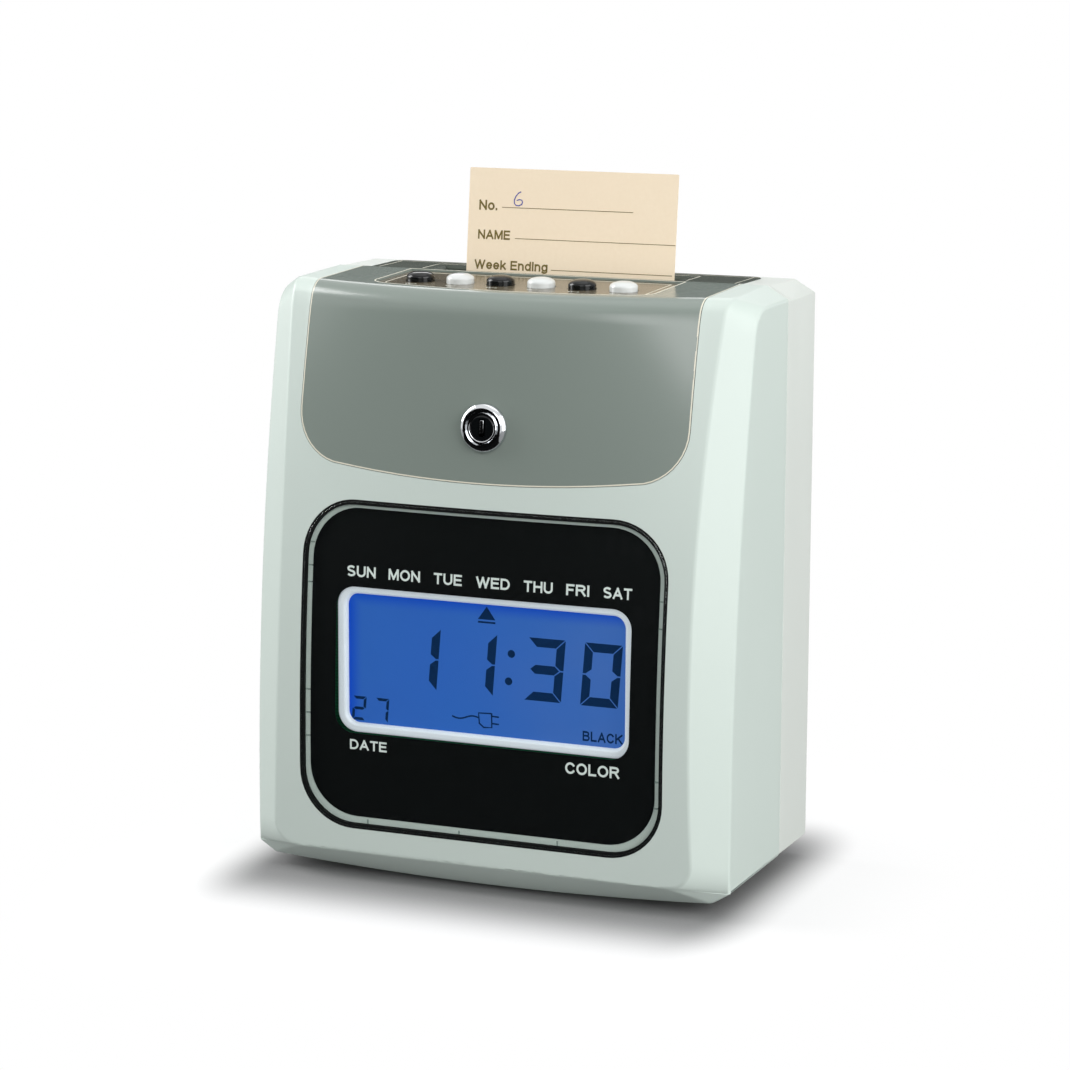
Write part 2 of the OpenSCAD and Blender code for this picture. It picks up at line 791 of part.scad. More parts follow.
module lock_cam() {
    color("#a9adb0") in_lock_frame() translate([0, 0, cam_z]) difference() {
        union() {
            cylinder(cam_t, d = cam_hub_d);
            translate([0, -cam_w / 2, 0]) cube([cam_l - cam_w / 2, cam_w, cam_t]);
            translate([cam_l - cam_w / 2, 0, 0]) cylinder(cam_t, d = cam_w);
        }
        translate([0, 0, -1]) cylinder(cam_t + 2, d = tail_d + 0.04);
    }
}

// Section across the rear case, its walls set in by o and its top at z
module rear_outline(o, z) {
    polygon([
        [-half + o, side_z + o], [half - o, side_z + o], [half - o, z - shoulder_h - shoulder_share * o],
        [half - shoulder_w - side_share * o, z - o], [-half + shoulder_w + side_share * o, z - o],
        [-half + o, z - shoulder_h - shoulder_share * o]]);
}
module keyhole(x) {
    drop = 8;
    along_y(back - rear_wall - 1, back + 1) translate([x, key_hole_z]) {
        circle(d = 2 * screw_hole_d - 0.2);
        translate([-screw_hole_d / 2, 0]) square([screw_hole_d, drop]);
        translate([0, drop]) circle(d = screw_hole_d);
    }
}
module deck_outline(g) {
    r = 5;
    translate([-deck_x - g, seam]) square([2 * deck_x + 2 * g, deck_back - seam - r]);
    hull() for (s = [-1, 1]) translate([s * (deck_x - r), deck_back - r]) circle(r + g);
}
module slot_outline(g) {
    translate([-slot_w / 2 - g, slot_y - g]) square([slot_w + 2 * g, slot_d + 2 * g]);
}
module stand_holes(d, y0, y1) {
    for (x = [-1, 1], z = stand_z) along_y(y0, y1) translate([x * stand_x, z]) circle(d = d);
}
module flange_holes(d, z0) {
    for (s = [-1, 1], y = screw_y) translate([s * flange_x, y, z0]) cylinder(4, d = d);
}

// Thin slice of the rear case's outline at depth y
module case_slice(y, o, z) {
    along_y(y, y + 0.1) rear_outline(o, z);
}
module rear_case_skin() {
    hull() {
        case_slice(seam + seam_gap, 0, crest_z);
        case_slice(seam + top_step, 0, deck_z);
    }
    hull() {
        case_slice(seam + top_step, 0, deck_z);
        for (a = [0:22.5:90]) along_y(back - case_r, back - case_r + case_r * sin(a))
            rear_outline(case_r * (1 - cos(a)), deck_z);
    }
}

// Rim that centres the cover along the seam
module seam_rim() {
    difference() {
        union() {
            along_y(seam - rim_l, seam + rim_l) rear_outline(wall + 0.4, crest_z);
            along_y(seam + seam_gap, seam + rim_l) rear_outline(rear_wall - 0.2, deck_z);
        }
        along_y(seam - rim_l - 1, seam + rim_l + 1) rear_outline(wall + rim_t, crest_z - 0.4);
        translate([-half, seam - rim_l - 1, 0]) cube([body_w, 2 * rim_l + 2, side_z + face_corner]);
    }
}

module rear_case() {
    color("#d8dcd7") difference() {
        union() {
            difference() {
                rear_case_skin();
                along_y(seam - 1, back - rear_wall) intersection() {
                    rear_outline(rear_wall, deck_z);
                    translate([-half, floor_top]) square([body_w, deck_z - roof_t - floor_top]);
                }
                translate([0, 0, deck_z - deck_t]) linear_extrude(10) deck_outline(trim_gap);
            }
            seam_rim();
            translate([-pan_x, pan_front, floor_z]) cube([2 * pan_x, seam + 4 - pan_front, rear_wall]);
            for (x = ears) {
                hinge_bar(x, x + ear_t, 2 * knuckle_r);
                translate([x, hinge_y, floor_z]) cube([ear_t, pan_front - hinge_y + 1, hinge_z + 3 - floor_z]);
            }
            stand_holes(stand_d, main_board_y + board_t, back - 1);
        }
        for (s = [-1, 1]) {
            hinge_bar(s * hinge_x - 12, s * hinge_x + 12, hinge_d + 0.04);
            keyhole(s * key_hole_x / 2);
            along_y(back - 10, back + 1) translate([s * screw_hole_x / 2, screw_hole_z])
                circle(d = screw_hole_d);
        }
        stand_holes(pilot_d, main_board_y, back - 2.2);
        along_y(back - 10, back + 1) translate([inlet_x, inlet_z]) circle(d = jack_d + 0.4);
        translate([0, 0, deck_z - 10]) linear_extrude(20) slot_outline(slot_rim);
        flange_holes(pilot_d, floor_z - 1);
    }
}

// Deck trim let into the top, with a bevelled mouth for the card
module rear_deck() {
    color("#5d655f") difference() {
        intersection() {
            translate([0, 0, deck_z - deck_t + trim_gap]) linear_extrude(10) deck_outline(0);
            along_x(-half, half) polygon([
                [seam + seam_gap, 0], [seam + seam_gap, crest_z], [seam + top_step, deck_z],
                [back, deck_z], [back, 0]]);
        }
        translate([0, 0, deck_z - 10]) linear_extrude(20) slot_outline(0);
        hull() {
            translate([0, 0, deck_z + 0.01]) linear_extrude(1) slot_outline(slot_rim);
            translate([0, 0, deck_z - slot_rim]) linear_extrude(0.01) slot_outline(0);
        }
    }
}

module base_plate() {
    color("#b4b7b8") difference() {
        translate([-plate_x, pan_front + 2, plate_z])
            cube([2 * plate_x, back - rear_wall - 1 - pan_front - 2, plate_t]);
        flange_holes(flange_hole_d, plate_z - 1);
    }
}

module rubber_feet() {
    color("#1d1e1f") for (x = [-1, 1], y = foot_y) translate([x * foot_x, y, 0]) {
        cylinder(foot_bevel, d1 = foot_d - 2, d2 = foot_d);
        translate([0, 0, foot_bevel]) cylinder((y < seam ? floor_z : side_z) - foot_bevel - 0.1, d = foot_d);
    }
}

module hinge_pins() {
    e = knuckle_l / 2 + ear_gap + ear_t;
    color("#c3c6c8") for (s = [-1, 1]) hinge_bar(s * hinge_x - e, s * hinge_x + e, hinge_d);
}

module case_screws() {
    l = bolt_l - 0.4;
    color("#b9bdc0") {
        for (s = [-1, 1], y = screw_y) translate([s * flange_x, y, plate_top + frame_t + 0.1]) pan_screw(l);
        for (x = [-1, 1], z = stand_z) translate([x * stand_x, main_board_y - 0.1, z])
            rotate([90, 0, 0]) pan_screw(l);
    }
}

// One side frame folded from sheet; s is -1 on the left and 1 on the right
module side_frame(s, v, w) {
    x0 = s > 0 ? frame_x : -frame_x - frame_t;
    foot = plate_top + 0.1;
    color("#c2c5c6") difference() {
        union() {
            along_x(x0, x0 + frame_t) polygon([
                [frame_waist, foot], [frame_back, foot], [frame_back, 120], [seam + 10, frame_top],
                [frame_front, frame_top], [frame_front, board_z1 + 6], [frame_waist, board_z1 - 8]]);
            translate([s > 0 ? frame_x : -frame_x - flange_w, screw_y[0] - 6, foot])
                cube([flange_w, screw_y[1] - screw_y[0] + 12, frame_t]);
        }
        flange_holes(flange_hole_d, plate_top - 1);
        card_rod(x0 - 1, x0 + 3, shaft_v, shaft_w, shaft_d / 2 + run_gap);
        card_rod(x0 - 1, x0 + 3, screw_v, screw_w, screw_d / 2 + run_gap);
        card_rod(x0 - 1, x0 + 3, feed_v, feed_w, axle_d / 2 + run_gap);
        card_rod(x0 - 1, x0 + 3, pinch_v, feed_w, pinch_axle_d / 2 + run_gap);
        card_rod(x0 - 1, x0 + 3, v, w, pin_d / 2 + 1);
    }
}

// Openings for the rollers through a guide, h high
module roller_windows(v0, v1, h) {
    for (x = roller_x)
        card_box(x - roller_l / 2 - 1.5, x + roller_l / 2 + 1.5, v0, v1, feed_w - h / 2, feed_w + h / 2);
}

module card_guide_front() {
    color("#33373a") difference() {
        union() {
            card_box(-inner_x, inner_x, guide_front, -card_gap, stop_w + 0.3, mouth_w - 2);
            card_box(-slot_w / 2 - 1, slot_w / 2 + 1, guide_front, -card_gap, mouth_w - 3, mouth_w);
        }
        card_box(-window_x, window_x, guide_front - 1, 0, print_w - window_h, print_w + window_h);
        roller_windows(guide_front - 1, 0, feed_d);
    }
}

// Rear half of the chute: flared mouth, the right rail that the card registers on and the left filler
module card_guide_rear() {
    low = stop_w + 0.3;
    flare = guide_rear + slot_d - 3;
    rail_x = card_edge + card_side;
    color("#33373a") difference() {
        union() {
            in_card_frame() along_x(-inner_x, inner_x) polygon([
                [guide_rear, low], [guide_rear, -14], [flare - 2, -5],
                [flare, -6.8], [guide_rear + guide_t, -15], [guide_rear + guide_t, low]]);
            card_box(rail_x, rail_x + rail_t, 0.2 - card_gap, guide_rear + 0.5, low, -8);
            card_box(-slot_w / 2 - 1, card_left - card_side, 0.2 - card_gap, guide_rear + 0.5, low, -16);
        }
        card_box(-window_x, window_x, -3, guide_rear + 3, print_w - 8.5, print_w + 8.5);
        roller_windows(0, guide_rear + 3, pinch_d + 2);
    }
}

module card_stop() {
    color("#b4b7b8")
        card_box(-inner_x, inner_x, guide_front, guide_rear + guide_t + stop_lip, stop_w - plate_t, stop_w);
}

module platen() {
    color("#232425") card_box(card_left - platen_end, card_edge + platen_end, card_t + 0.4, platen_v,
        print_w - ribbon_h / 2, print_w + ribbon_h / 2);
}
module platen_bar() {
    color("#b4b7b8")
        card_box(-inner_x, inner_x, platen_v + 0.05, platen_v + platen_bar_t,
            print_w - platen_v, print_w + platen_v);
}
module guide_shaft() {
    color("#d0d3d5") card_rod(-frame_x - frame_t, frame_x + frame_t, shaft_v, shaft_w, shaft_d / 2);
}

module print_carriage() {
    color("#2b2e30") difference() {
        card_box(-carriage_w / 2, carriage_w / 2, screw_v - carriage_rim, -head_l, shaft_w - carriage_rim,
            screw_w + carriage_rim);
        card_rod(-carriage_w, carriage_w, shaft_v, shaft_w, shaft_d / 2 + run_gap);
        card_rod(-carriage_w, carriage_w, screw_v, screw_w, screw_d / 2 + run_gap);
    }
}
module print_head() {
    color("#8d9194") {
        card_box(-head_w / 2, head_w / 2, 0.05 - head_l, -head_l + 2, print_w - 6, print_w + 6);
        card_box(-head_w / 4, head_w / 4, -head_l + 2, ribbon_v - 0.3, print_w - 5, print_w + 5);
    }
}

module lead_screw() {
    color("#c9ccce") card_rod(-frame_x - frame_t, gear_x + gear_t, screw_v, screw_w, screw_d / 2);
}

// Spur gear outline with a tooth on the X axis; the pitch point leaves a little backlash
module gear_outline(n) {
    r = gear_m * n / 2;
    step = 360 / n;
    polygon([for (i = [0:n - 1]) each [
        for (p = [[-0.36, -1.15], [-0.235, 0], [-0.11, 0.9], [0.11, 0.9], [0.235, 0], [0.36, -1.15]])
            let (a = step * (i + p[0]), q = r + p[1] * gear_m) [q * cos(a), q * sin(a)]]]);
}
module card_gear(x, v, w, n, turn, bore) {
    in_card_frame() translate([x, v, w]) rotate([90, 0, 90]) linear_extrude(gear_t) difference() {
        rotate(turn) gear_outline(n);
        circle(d = bore);
    }
}

module lead_gear() {
    color("#e2e1da") card_gear(gear_x, screw_v, screw_w, gear_n, 225, screw_d + 0.04);
}
module motor(x, v, w, mouth) {
    difference() {
        card_rod(x, x + motor_l, v, w, motor_d / 2);
        card_rod(mouth - 6, mouth + 6, v, w, pin_d / 2 + run_gap);
    }
}
module carriage_motor() {
    color("#a9adb0") motor(inner_x - motor_l, screw_v - mesh_side, screw_w - mesh_side, inner_x);
}
module carriage_pinion() {
    v = screw_v - mesh_side;
    w = screw_w - mesh_side;
    color("#c9a75a") {
        card_gear(gear_x, v, w, pinion_n, 45 + 180 / pinion_n, pin_d - 0.1);
        card_rod(inner_x - 5, gear_x + gear_t, v, w, pin_d / 2);
    }
}

module feed_shaft() {
    color("#c9ccce") card_rod(-gear_x - gear_t, frame_x + frame_t, feed_v, feed_w, axle_d / 2);
}
module feed_tyres() {
    color("#202122") for (x = roller_x) difference() {
        card_rod(x - roller_l / 2, x + roller_l / 2, feed_v, feed_w, feed_d / 2);
        card_rod(x - roller_l, x + roller_l, feed_v, feed_w, axle_d / 2 + 0.02);
    }
}
module feed_gear() {
    color("#e2e1da") card_gear(-gear_x - gear_t, feed_v, feed_w, gear_n, 225, axle_d + 0.04);
}
module feed_motor() {
    color("#a9adb0") motor(-inner_x, feed_v - mesh_side, feed_w - mesh_side, -inner_x);
}
module feed_pinion() {
    v = feed_v - mesh_side;
    w = feed_w - mesh_side;
    color("#c9a75a") {
        card_gear(-gear_x - gear_t, v, w, pinion_n, 45 + 180 / pinion_n, pin_d - 0.1);
        card_rod(-gear_x - gear_t, -inner_x + 5, v, w, pin_d / 2);
    }
}
module pinch_rollers() {
    color("#3a3d40") {
        card_rod(-frame_x - frame_t, frame_x + frame_t, pinch_v, feed_w, pinch_axle_d / 2);
        for (x = roller_x) card_rod(x - roller_l / 2, x + roller_l / 2, pinch_v, feed_w, pinch_d / 2);
    }
}

module ribbon_cartridge() {
    color("#1f2123") difference() {
        union() {
            card_box(-frame_x + 0.3, frame_x - 0.3, pack_v0, pack_v1, pack_w0, pack_w1);
            for (s = [-1, 1]) {
                x = s > 0 ? arm_x : -arm_x - arm_t;
                card_box(x, x + arm_t, pack_v1 - 4, guide_front - 0.6, print_w - 9, pack_w0 + 8);
                card_box(x, x + arm_t, pack_v1 - 4, ribbon_v + 0.4, print_w - 9, print_w + 9);
            }
        }
        in_card_frame() translate([knob_x, pack_v0 - 1, (pack_w0 + pack_w1) / 2]) rotate([-90, 0, 0])
            cylinder(9, d = knob_stem_d + 2 * run_gap);
    }
}
module ink_ribbon() {
    color("#15161a") card_box(-arm_x + 0.1, arm_x - 0.1, ribbon_v, ribbon_v + ribbon_t,
        print_w - ribbon_h / 2, print_w + ribbon_h / 2);
}
module ribbon_knob() {
    color("#2f6fb0") in_card_frame() translate([knob_x, pack_v0 - 0.3, (pack_w0 + pack_w1) / 2])
        rotate([90, 0, 0]) {
        difference() {
            cylinder(knob_l, d = knob_d);
            for (a = [0:30:330]) rotate(a) translate([knob_d / 2 + 0.3, 0, -1]) cylinder(knob_l + 2, d = 1.8);
        }
        translate([0, 0, -6]) cylinder(6.5, d = knob_stem_d);
    }
}

// Sheet bridge between the frames with the tab that the lock cam turns up behind
module strike_bracket() {
    color("#b4b7b8") {
        translate([-inner_x, frame_front - tab_t, frame_top - 4]) cube([2 * inner_x, bridge_w, tab_t]);
        for (s = [-1, 1]) translate([s > 0 ? inner_x - tab_t : -inner_x, frame_front + 1, frame_top - bridge_w])
            cube([tab_t, bridge_w - 3, bridge_w - 3]);
        in_lock_frame() translate([-tab_w / 2, lock_z - frame_top, cam_z - cam_gap - tab_t])
            cube([tab_w, frame_top - lock_z - tab_z, tab_t]);
    }
}

module main_board() {
    color("#1f6b45") difference() {
        translate([-main_board_x, main_board_y, main_board_z0])
            cube([2 * main_board_x, board_t, main_board_z1 - main_board_z0]);
        stand_holes(free_d, main_board_y - 1, main_board_y + board_t + 1);
    }
}

// A part of the given size [w, h] and thickness t that stands on the main board at [x, z]
module on_board(x, z, size, t) {
    translate([x, main_board_y - t, z]) cube([size[0], t, size[1]]);
}
module board_parts() {
    low = main_board_z0;
    color("#222426") {
        on_board(-cpu_w * 0.65, low + 2.2 * cpu_w, [cpu_w, cpu_w], chip_t);
        on_board(cpu_w, low + 2.6 * cpu_w, [chip_w, chip_w / 2], chip_t);
        on_board(-4 * relay_w, low + 6.5 * relay_w, [relay_w, 2.3 * relay_w], relay_w / 2);
        on_board(-4 * relay_w, low + 2.3 * relay_w, [1.2 * relay_w, 1.2 * relay_w], 0.75 * relay_w);
        on_board(1.25 * header_w, low + header_w, [header_w, header_t], header_t);
        for (i = [-1:1]) along_y(main_board_y - cap_l, main_board_y)
            translate([1.6 * cap_d * i - header_t, low + 1.6 * cap_d]) circle(d = cap_d);
    }
}

// Three cells side by side in a moulded cradle
module backup_battery() {
    step = battery_d + 0.1;
    color("#3f7f52") {
        for (i = [0:2]) translate([battery_x, battery_y + step * i, plate_top + battery_d / 2 + 0.2])
            rotate([0, 90, 0]) cylinder(battery_l, d = battery_d);
        translate([battery_x + 1, battery_y, plate_top + 0.2]) cube([battery_l - 2, 2 * step, battery_d / 2]);
    }
}

// Barrel jack whose collar fills the hole in the back wall
module dc_inlet() {
    y0 = back - rear_wall - 0.1;
    color("#1a1b1c") difference() {
        union() {
            translate([inlet_x - jack_w / 2, y0 - jack_l, inlet_z - jack_w * 0.55])
                cube([jack_w, jack_l, jack_w * 1.1]);
            along_y(y0 - 1, back - 0.3) translate([inlet_x, inlet_z]) circle(d = jack_d);
        }
        along_y(y0 - 0.7 * jack_l, back + 1) translate([inlet_x, inlet_z]) circle(d = jack_bore);
    }
    color("#c9ccce") along_y(y0 - 0.75 * jack_l, back - 3) translate([inlet_x, inlet_z]) circle(d = jack_pin_d);
}
module buzzer() {
    y0 = main_board_y - buzzer_t;
    color("#17181a") translate([main_board_x - buzzer_d + 2, 0, main_board_z1 - buzzer_d]) difference() {
        along_y(y0, main_board_y - 0.05) circle(d = buzzer_d);
        along_y(y0 - 1, y0 + 1) circle(d = buzzer_d / 8);
    }
}

module time_card() {
    w0 = card_out - card_l;
    color("#efe0c5") in_card_frame() translate([card_x, card_t, 0]) rotate([90, 0, 0]) linear_extrude(card_t)
        difference() {
            translate([0, w0 + card_l / 2]) rounded(card_w, card_l, 2);
            translate([-card_w / 2, w0]) rotate(45) square(8, center = true);
        }
}

front_cover();
fascia();
display_lens();
display_bezel();
display_glass();
display_module();
display_board();
switch_board();
key_switches();
cover_screws();
lock_barrel();
lock_nut();
lock_plug();
lock_cam();
key(0);  // key_1
key(1);  // key_2
key(2);  // key_3
key(3);  // key_4
key(4);  // key_5
key(5);  // key_6
rear_case();
rear_deck();
base_plate();
rubber_feet();
hinge_pins();
case_screws();
side_frame(-1, feed_v - mesh_side, feed_w - mesh_side);  // side_frame_left
side_frame(1, screw_v - mesh_side, screw_w - mesh_side);  // side_frame_right
card_guide_front();
card_guide_rear();
card_stop();
platen();
platen_bar();
guide_shaft();
print_carriage();
print_head();
lead_screw();
lead_gear();
carriage_motor();
carriage_pinion();
feed_shaft();
feed_tyres();
feed_gear();
feed_motor();
feed_pinion();
pinch_rollers();
ribbon_cartridge();
ink_ribbon();
ribbon_knob();
strike_bracket();
main_board();
board_parts();
backup_battery();
dc_inlet();
buzzer();
time_card();
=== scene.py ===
import math

import bmesh
import bpy
from mathutils import Matrix, Vector


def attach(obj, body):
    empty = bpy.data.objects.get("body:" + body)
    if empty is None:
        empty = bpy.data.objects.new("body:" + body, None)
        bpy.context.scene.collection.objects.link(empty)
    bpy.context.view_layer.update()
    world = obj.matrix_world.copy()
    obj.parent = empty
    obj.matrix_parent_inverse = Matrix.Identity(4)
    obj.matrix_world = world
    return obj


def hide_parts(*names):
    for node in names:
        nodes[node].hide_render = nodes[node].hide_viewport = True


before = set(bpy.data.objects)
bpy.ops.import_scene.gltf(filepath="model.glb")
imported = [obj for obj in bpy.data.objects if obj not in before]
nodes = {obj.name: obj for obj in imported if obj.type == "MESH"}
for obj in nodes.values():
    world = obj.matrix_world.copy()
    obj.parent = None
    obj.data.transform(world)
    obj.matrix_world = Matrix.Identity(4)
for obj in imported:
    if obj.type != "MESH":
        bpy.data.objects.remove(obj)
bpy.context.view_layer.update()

# The camera stands about 1.3 m away, a little to the right and above the middle of the clock,
# with the long lens of a product shot
MM = 0.001
camera_spot = Vector((0.4982, -1.2034, 0.3746))
camera_turn = 22.418
camera_tilt = 10.642
camera_roll = -0.192
camera_data = bpy.data.cameras.new("camera")
camera_data.sensor_width = 36
camera_data.lens = 116.05
camera_data.clip_start = 0.1
camera_data.clip_end = 50
camera = bpy.data.objects.new("camera", camera_data)
bpy.context.scene.collection.objects.link(camera)
camera.matrix_world = (
    Matrix.Translation(camera_spot)
    @ Matrix.Rotation(math.radians(camera_turn), 4, "Z")
    @ Matrix.Rotation(math.radians(90 - camera_tilt), 4, "X")
    @ Matrix.Rotation(math.radians(-camera_roll), 4, "Z")
)
bpy.context.scene.camera = camera
bpy.context.scene.view_settings.view_transform = "Standard"


# The table is a sheet of matt white card. The clock's soft shadow falls on it and a painted shadow deepens
# it: a camera-only glow is held back near the clock, so the shade dies away within about 60 mm in front and
# faster at the sides, and past the shadow the card goes over into the white background
floor_size = 4.0
# Distances are in metres from the edge of a block under the clock, and sideways they count 1.9 times
shade_half = (0.085, 0.045, 0)
shade_rates = (1.9, 1, 1)
shade_low, shade_high, shade_lift = 0.008, 0.06, 0.69
fade_low, fade_high = 0.055, 0.16
fibre_size = 1.11 * MM
paper_dark, paper_light = 0.24, 0.27


def add(tree, kind, inputs=None, **settings):
    """Adds one node: inputs holds socket values or links by name or index, settings its properties."""
    made = tree.nodes.new(kind)
    for name, value in settings.items():
        setattr(made, name, value)
    for name, value in (inputs or {}).items():
        if isinstance(value, bpy.types.NodeSocket):
            tree.links.new(value, made.inputs[name])
        else:
            made.inputs[name].default_value = value
    return made


def new_material(name):
    """Makes an empty material and returns it with its node tree."""
    made = bpy.data.materials.new(name)
    made.use_nodes = True
    made.node_tree.nodes.clear()
    return made, made.node_tree


# Matt white card: a dull tone, darkened round the clock by a painted shadow. Its fibre is drawn over 1 mm
# coarse, as the real one is too fine to show
white_sheet, tree = new_material("white_paper_sweep")
place = add(tree, "ShaderNodeTexCoord")
across = add(tree, "ShaderNodeVectorMath", {0: place.outputs["Object"]}, operation="ABSOLUTE")
beyond = add(tree, "ShaderNodeVectorMath", {0: across.outputs[0], 1: shade_half}, operation="SUBTRACT")
outside = add(tree, "ShaderNodeVectorMath", {0: beyond.outputs[0], 1: (0, 0, 0)}, operation="MAXIMUM")
narrow = add(tree, "ShaderNodeVectorMath", {0: outside.outputs[0], 1: shade_rates}, operation="MULTIPLY")
distance = add(tree, "ShaderNodeVectorMath", {0: narrow.outputs[0]}, operation="LENGTH")
fade = add(tree, "ShaderNodeMapRange", {
    "Value": distance.outputs["Value"], "From Min": fade_low, "From Max": fade_high},
    interpolation_type="SMOOTHSTEP")
# Painted shadow: the camera-only glow rises from nothing at the clock to its full level further out
painted_shadow_lift = add(tree, "ShaderNodeMapRange", {
    "Value": distance.outputs["Value"], "From Min": shade_low, "From Max": shade_high, "To Max": shade_lift},
    interpolation_type="SMOOTHSTEP")
fibre = add(tree, "ShaderNodeTexNoise", {
    "Vector": place.outputs["Object"], "Scale": 1 / fibre_size, "Detail": 3.0})
paper = add(tree, "ShaderNodeMapRange", {
    "Value": fibre.outputs["Fac"], "To Min": paper_dark, "To Max": paper_light})
sheet = add(tree, "ShaderNodeBsdfDiffuse", {"Color": paper.outputs["Result"]})
rays = add(tree, "ShaderNodeLightPath")
faint = add(tree, "ShaderNodeMath", {0: rays.outputs["Is Camera Ray"], 1: painted_shadow_lift.outputs["Result"]},
            operation="MULTIPLY")
haze = add(tree, "ShaderNodeEmission", {"Color": (1, 1, 1, 1), "Strength": faint.outputs[0]})
near = add(tree, "ShaderNodeAddShader", {0: sheet.outputs[0], 1: haze.outputs[0]})
glow = add(tree, "ShaderNodeEmission", {"Color": (1, 1, 1, 1), "Strength": 1.0})
seen = add(tree, "ShaderNodeMath", {0: rays.outputs["Is Camera Ray"], 1: fade.outputs["Result"]},
           operation="MULTIPLY")
mixed = add(tree, "ShaderNodeMixShader", {0: seen.outputs[0], 1: near.outputs[0], 2: glow.outputs[0]})
add(tree, "ShaderNodeOutputMaterial", {"Surface": mixed.outputs[0]})
bm = bmesh.new()
bmesh.ops.create_grid(bm, x_segments=1, y_segments=1, size=floor_size / 2)
floor_mesh = bpy.data.meshes.new("floor")
bm.to_mesh(floor_mesh)
bm.free()
floor = bpy.data.objects.new("floor", floor_mesh)
floor_mesh.materials.append(white_sheet)
bpy.context.scene.collection.objects.link(floor)

# Round the table is a white studio: full white to the camera, in reflections and through the lens, and about
# half as bright as a light
room_light = 0.46
world = bpy.data.worlds.new("studio")
bpy.context.scene.world = world
world.use_nodes = True
tree = world.node_tree
tree.nodes.clear()
rays = add(tree, "ShaderNodeLightPath")
mirrored = add(tree, "ShaderNodeMath", {0: rays.outputs["Is Camera Ray"], 1: rays.outputs["Is Glossy Ray"]},
               operation="MAXIMUM")
seen = add(tree, "ShaderNodeMath", {0: mirrored.outputs[0], 1: rays.outputs["Is Transmission Ray"]},
           operation="MAXIMUM")
soft = add(tree, "ShaderNodeBackground", {"Color": (0.95, 0.97, 1.0, 1), "Strength": room_light})
white = add(tree, "ShaderNodeBackground", {"Color": (1, 1, 1, 1), "Strength": 1.0})
mixed = add(tree, "ShaderNodeMixShader", {0: seen.outputs[0], 1: soft.outputs[0], 2: white.outputs[0]})
add(tree, "ShaderNodeOutputWorld", {"Surface": mixed.outputs[0]})


# Five softboxes light the clock: a large one at each side, and weaker ones above, in front and behind.
# Places and sizes are in metres, and the power is in watts
def softbox(name, spot, aim, size, watts):
    data = bpy.data.lights.new(name, "AREA")
    data.shape = "RECTANGLE"
    data.size, data.size_y = size
    data.energy = watts
    lamp = bpy.data.objects.new(name, data)
    lamp.location = spot
    lamp.rotation_euler = (Vector(aim) - Vector(spot)).to_track_quat("-Z", "Y").to_euler()
    bpy.context.scene.collection.objects.link(lamp)


softbox("left_softbox", (-1.5, -0.15, 0.9), (0, 0, 0.12), (0.8, 1.2), 27)
softbox("right_softbox", (1.42, -0.48, 0.65), (0, 0, 0.12), (1.3, 1.5), 24)
softbox("top_softbox", (0.1, 0.1, 1.7), (0, 0, 0.1), (1.3, 1.1), 3.5)
softbox("front_softbox", (0.5, -1.9, 0.9), (0, 0, 0.1), (1.2, 0.7), 9)
softbox("rear_softbox", (-0.5, 1.9, 1.0), (0, 0, 0.1), (1.4, 0.9), 9)

# Three black cards, standing left of the camera, lying in front and standing behind, show only in
# reflections: they keep the display lens and the flat top as dark as in a product shot.
# Dull black card: it gives next to nothing back
black_card, tree = new_material("black_card")
dull = add(tree, "ShaderNodeBsdfDiffuse", {"Color": (0.004, 0.004, 0.004, 1)})
add(tree, "ShaderNodeOutputMaterial", {"Surface": dull.outputs[0]})
foot_z = 0.002
for name, corners in (
        ("standing_card", [(-1.7, -1.3, foot_z), (0.2, -1.9, foot_z), (0.2, -1.9, 0.8), (-1.7, -1.3, 0.8)]),
        ("lying_card", [(-1.7, -1.9, foot_z), (0.3, -1.9, foot_z),
                        (0.15, -0.085, foot_z), (-0.4, -0.085, foot_z)]),
        ("rear_card", [(-2.2, 1.2, 0.24), (0.5, 1.6, 0.24), (0.5, 1.6, 0.85), (-2.2, 1.2, 0.85)])):
    card_mesh = bpy.data.meshes.new(name)
    card_mesh.from_pydata(corners, [], [(0, 1, 2, 3)])
    card_mesh.materials.append(black_card)
    flag = bpy.data.objects.new(name, card_mesh)
    bpy.context.scene.collection.objects.link(flag)
    flag.visible_camera = False
    flag.visible_diffuse = False
    flag.visible_shadow = False

# The front cover is one injection moulding in pale grey-green gloss ABS, 3.4 mm thick, bowed in height
# and width, with chamfered sides and chin. It is hinged at the bottom, and its edges are a little rounded
front_y = -52 * MM
seam_y = 16 * MM
half_w = 97 * MM
wall = 3.4 * MM
crest_z = 228.6 * MM
bulge_z = 47 * MM
# Radii in metres of the upright bow, up the middle of the face and along its edges
bow_mid = 1.36
bow_edge = 0.627
edge_x = 84 * MM
top_slope = math.radians(1.6)


def bow_at(x):
    """Radius of the upright bow at a distance from the middle of the face."""
    share = (min(abs(x), edge_x) / edge_x) ** 2
    return 1 / (1 / bow_mid + (1 / bow_edge - 1 / bow_mid) * share)


def face_y(x, z):
    """Depth of the cover's front face at a place across and up."""
    return front_y + (z - bulge_z) ** 2 / (2 * bow_at(x))


def tint(code):
    """Turns a colour written as sRGB hex to linear values."""
    parts = [int(code[i:i + 2], 16) / 255 for i in (0, 2, 4)]
    return [c / 12.92 if c <= 0.04045 else ((c + 0.055) / 1.055) ** 2.4 for c in parts] + [1.0]


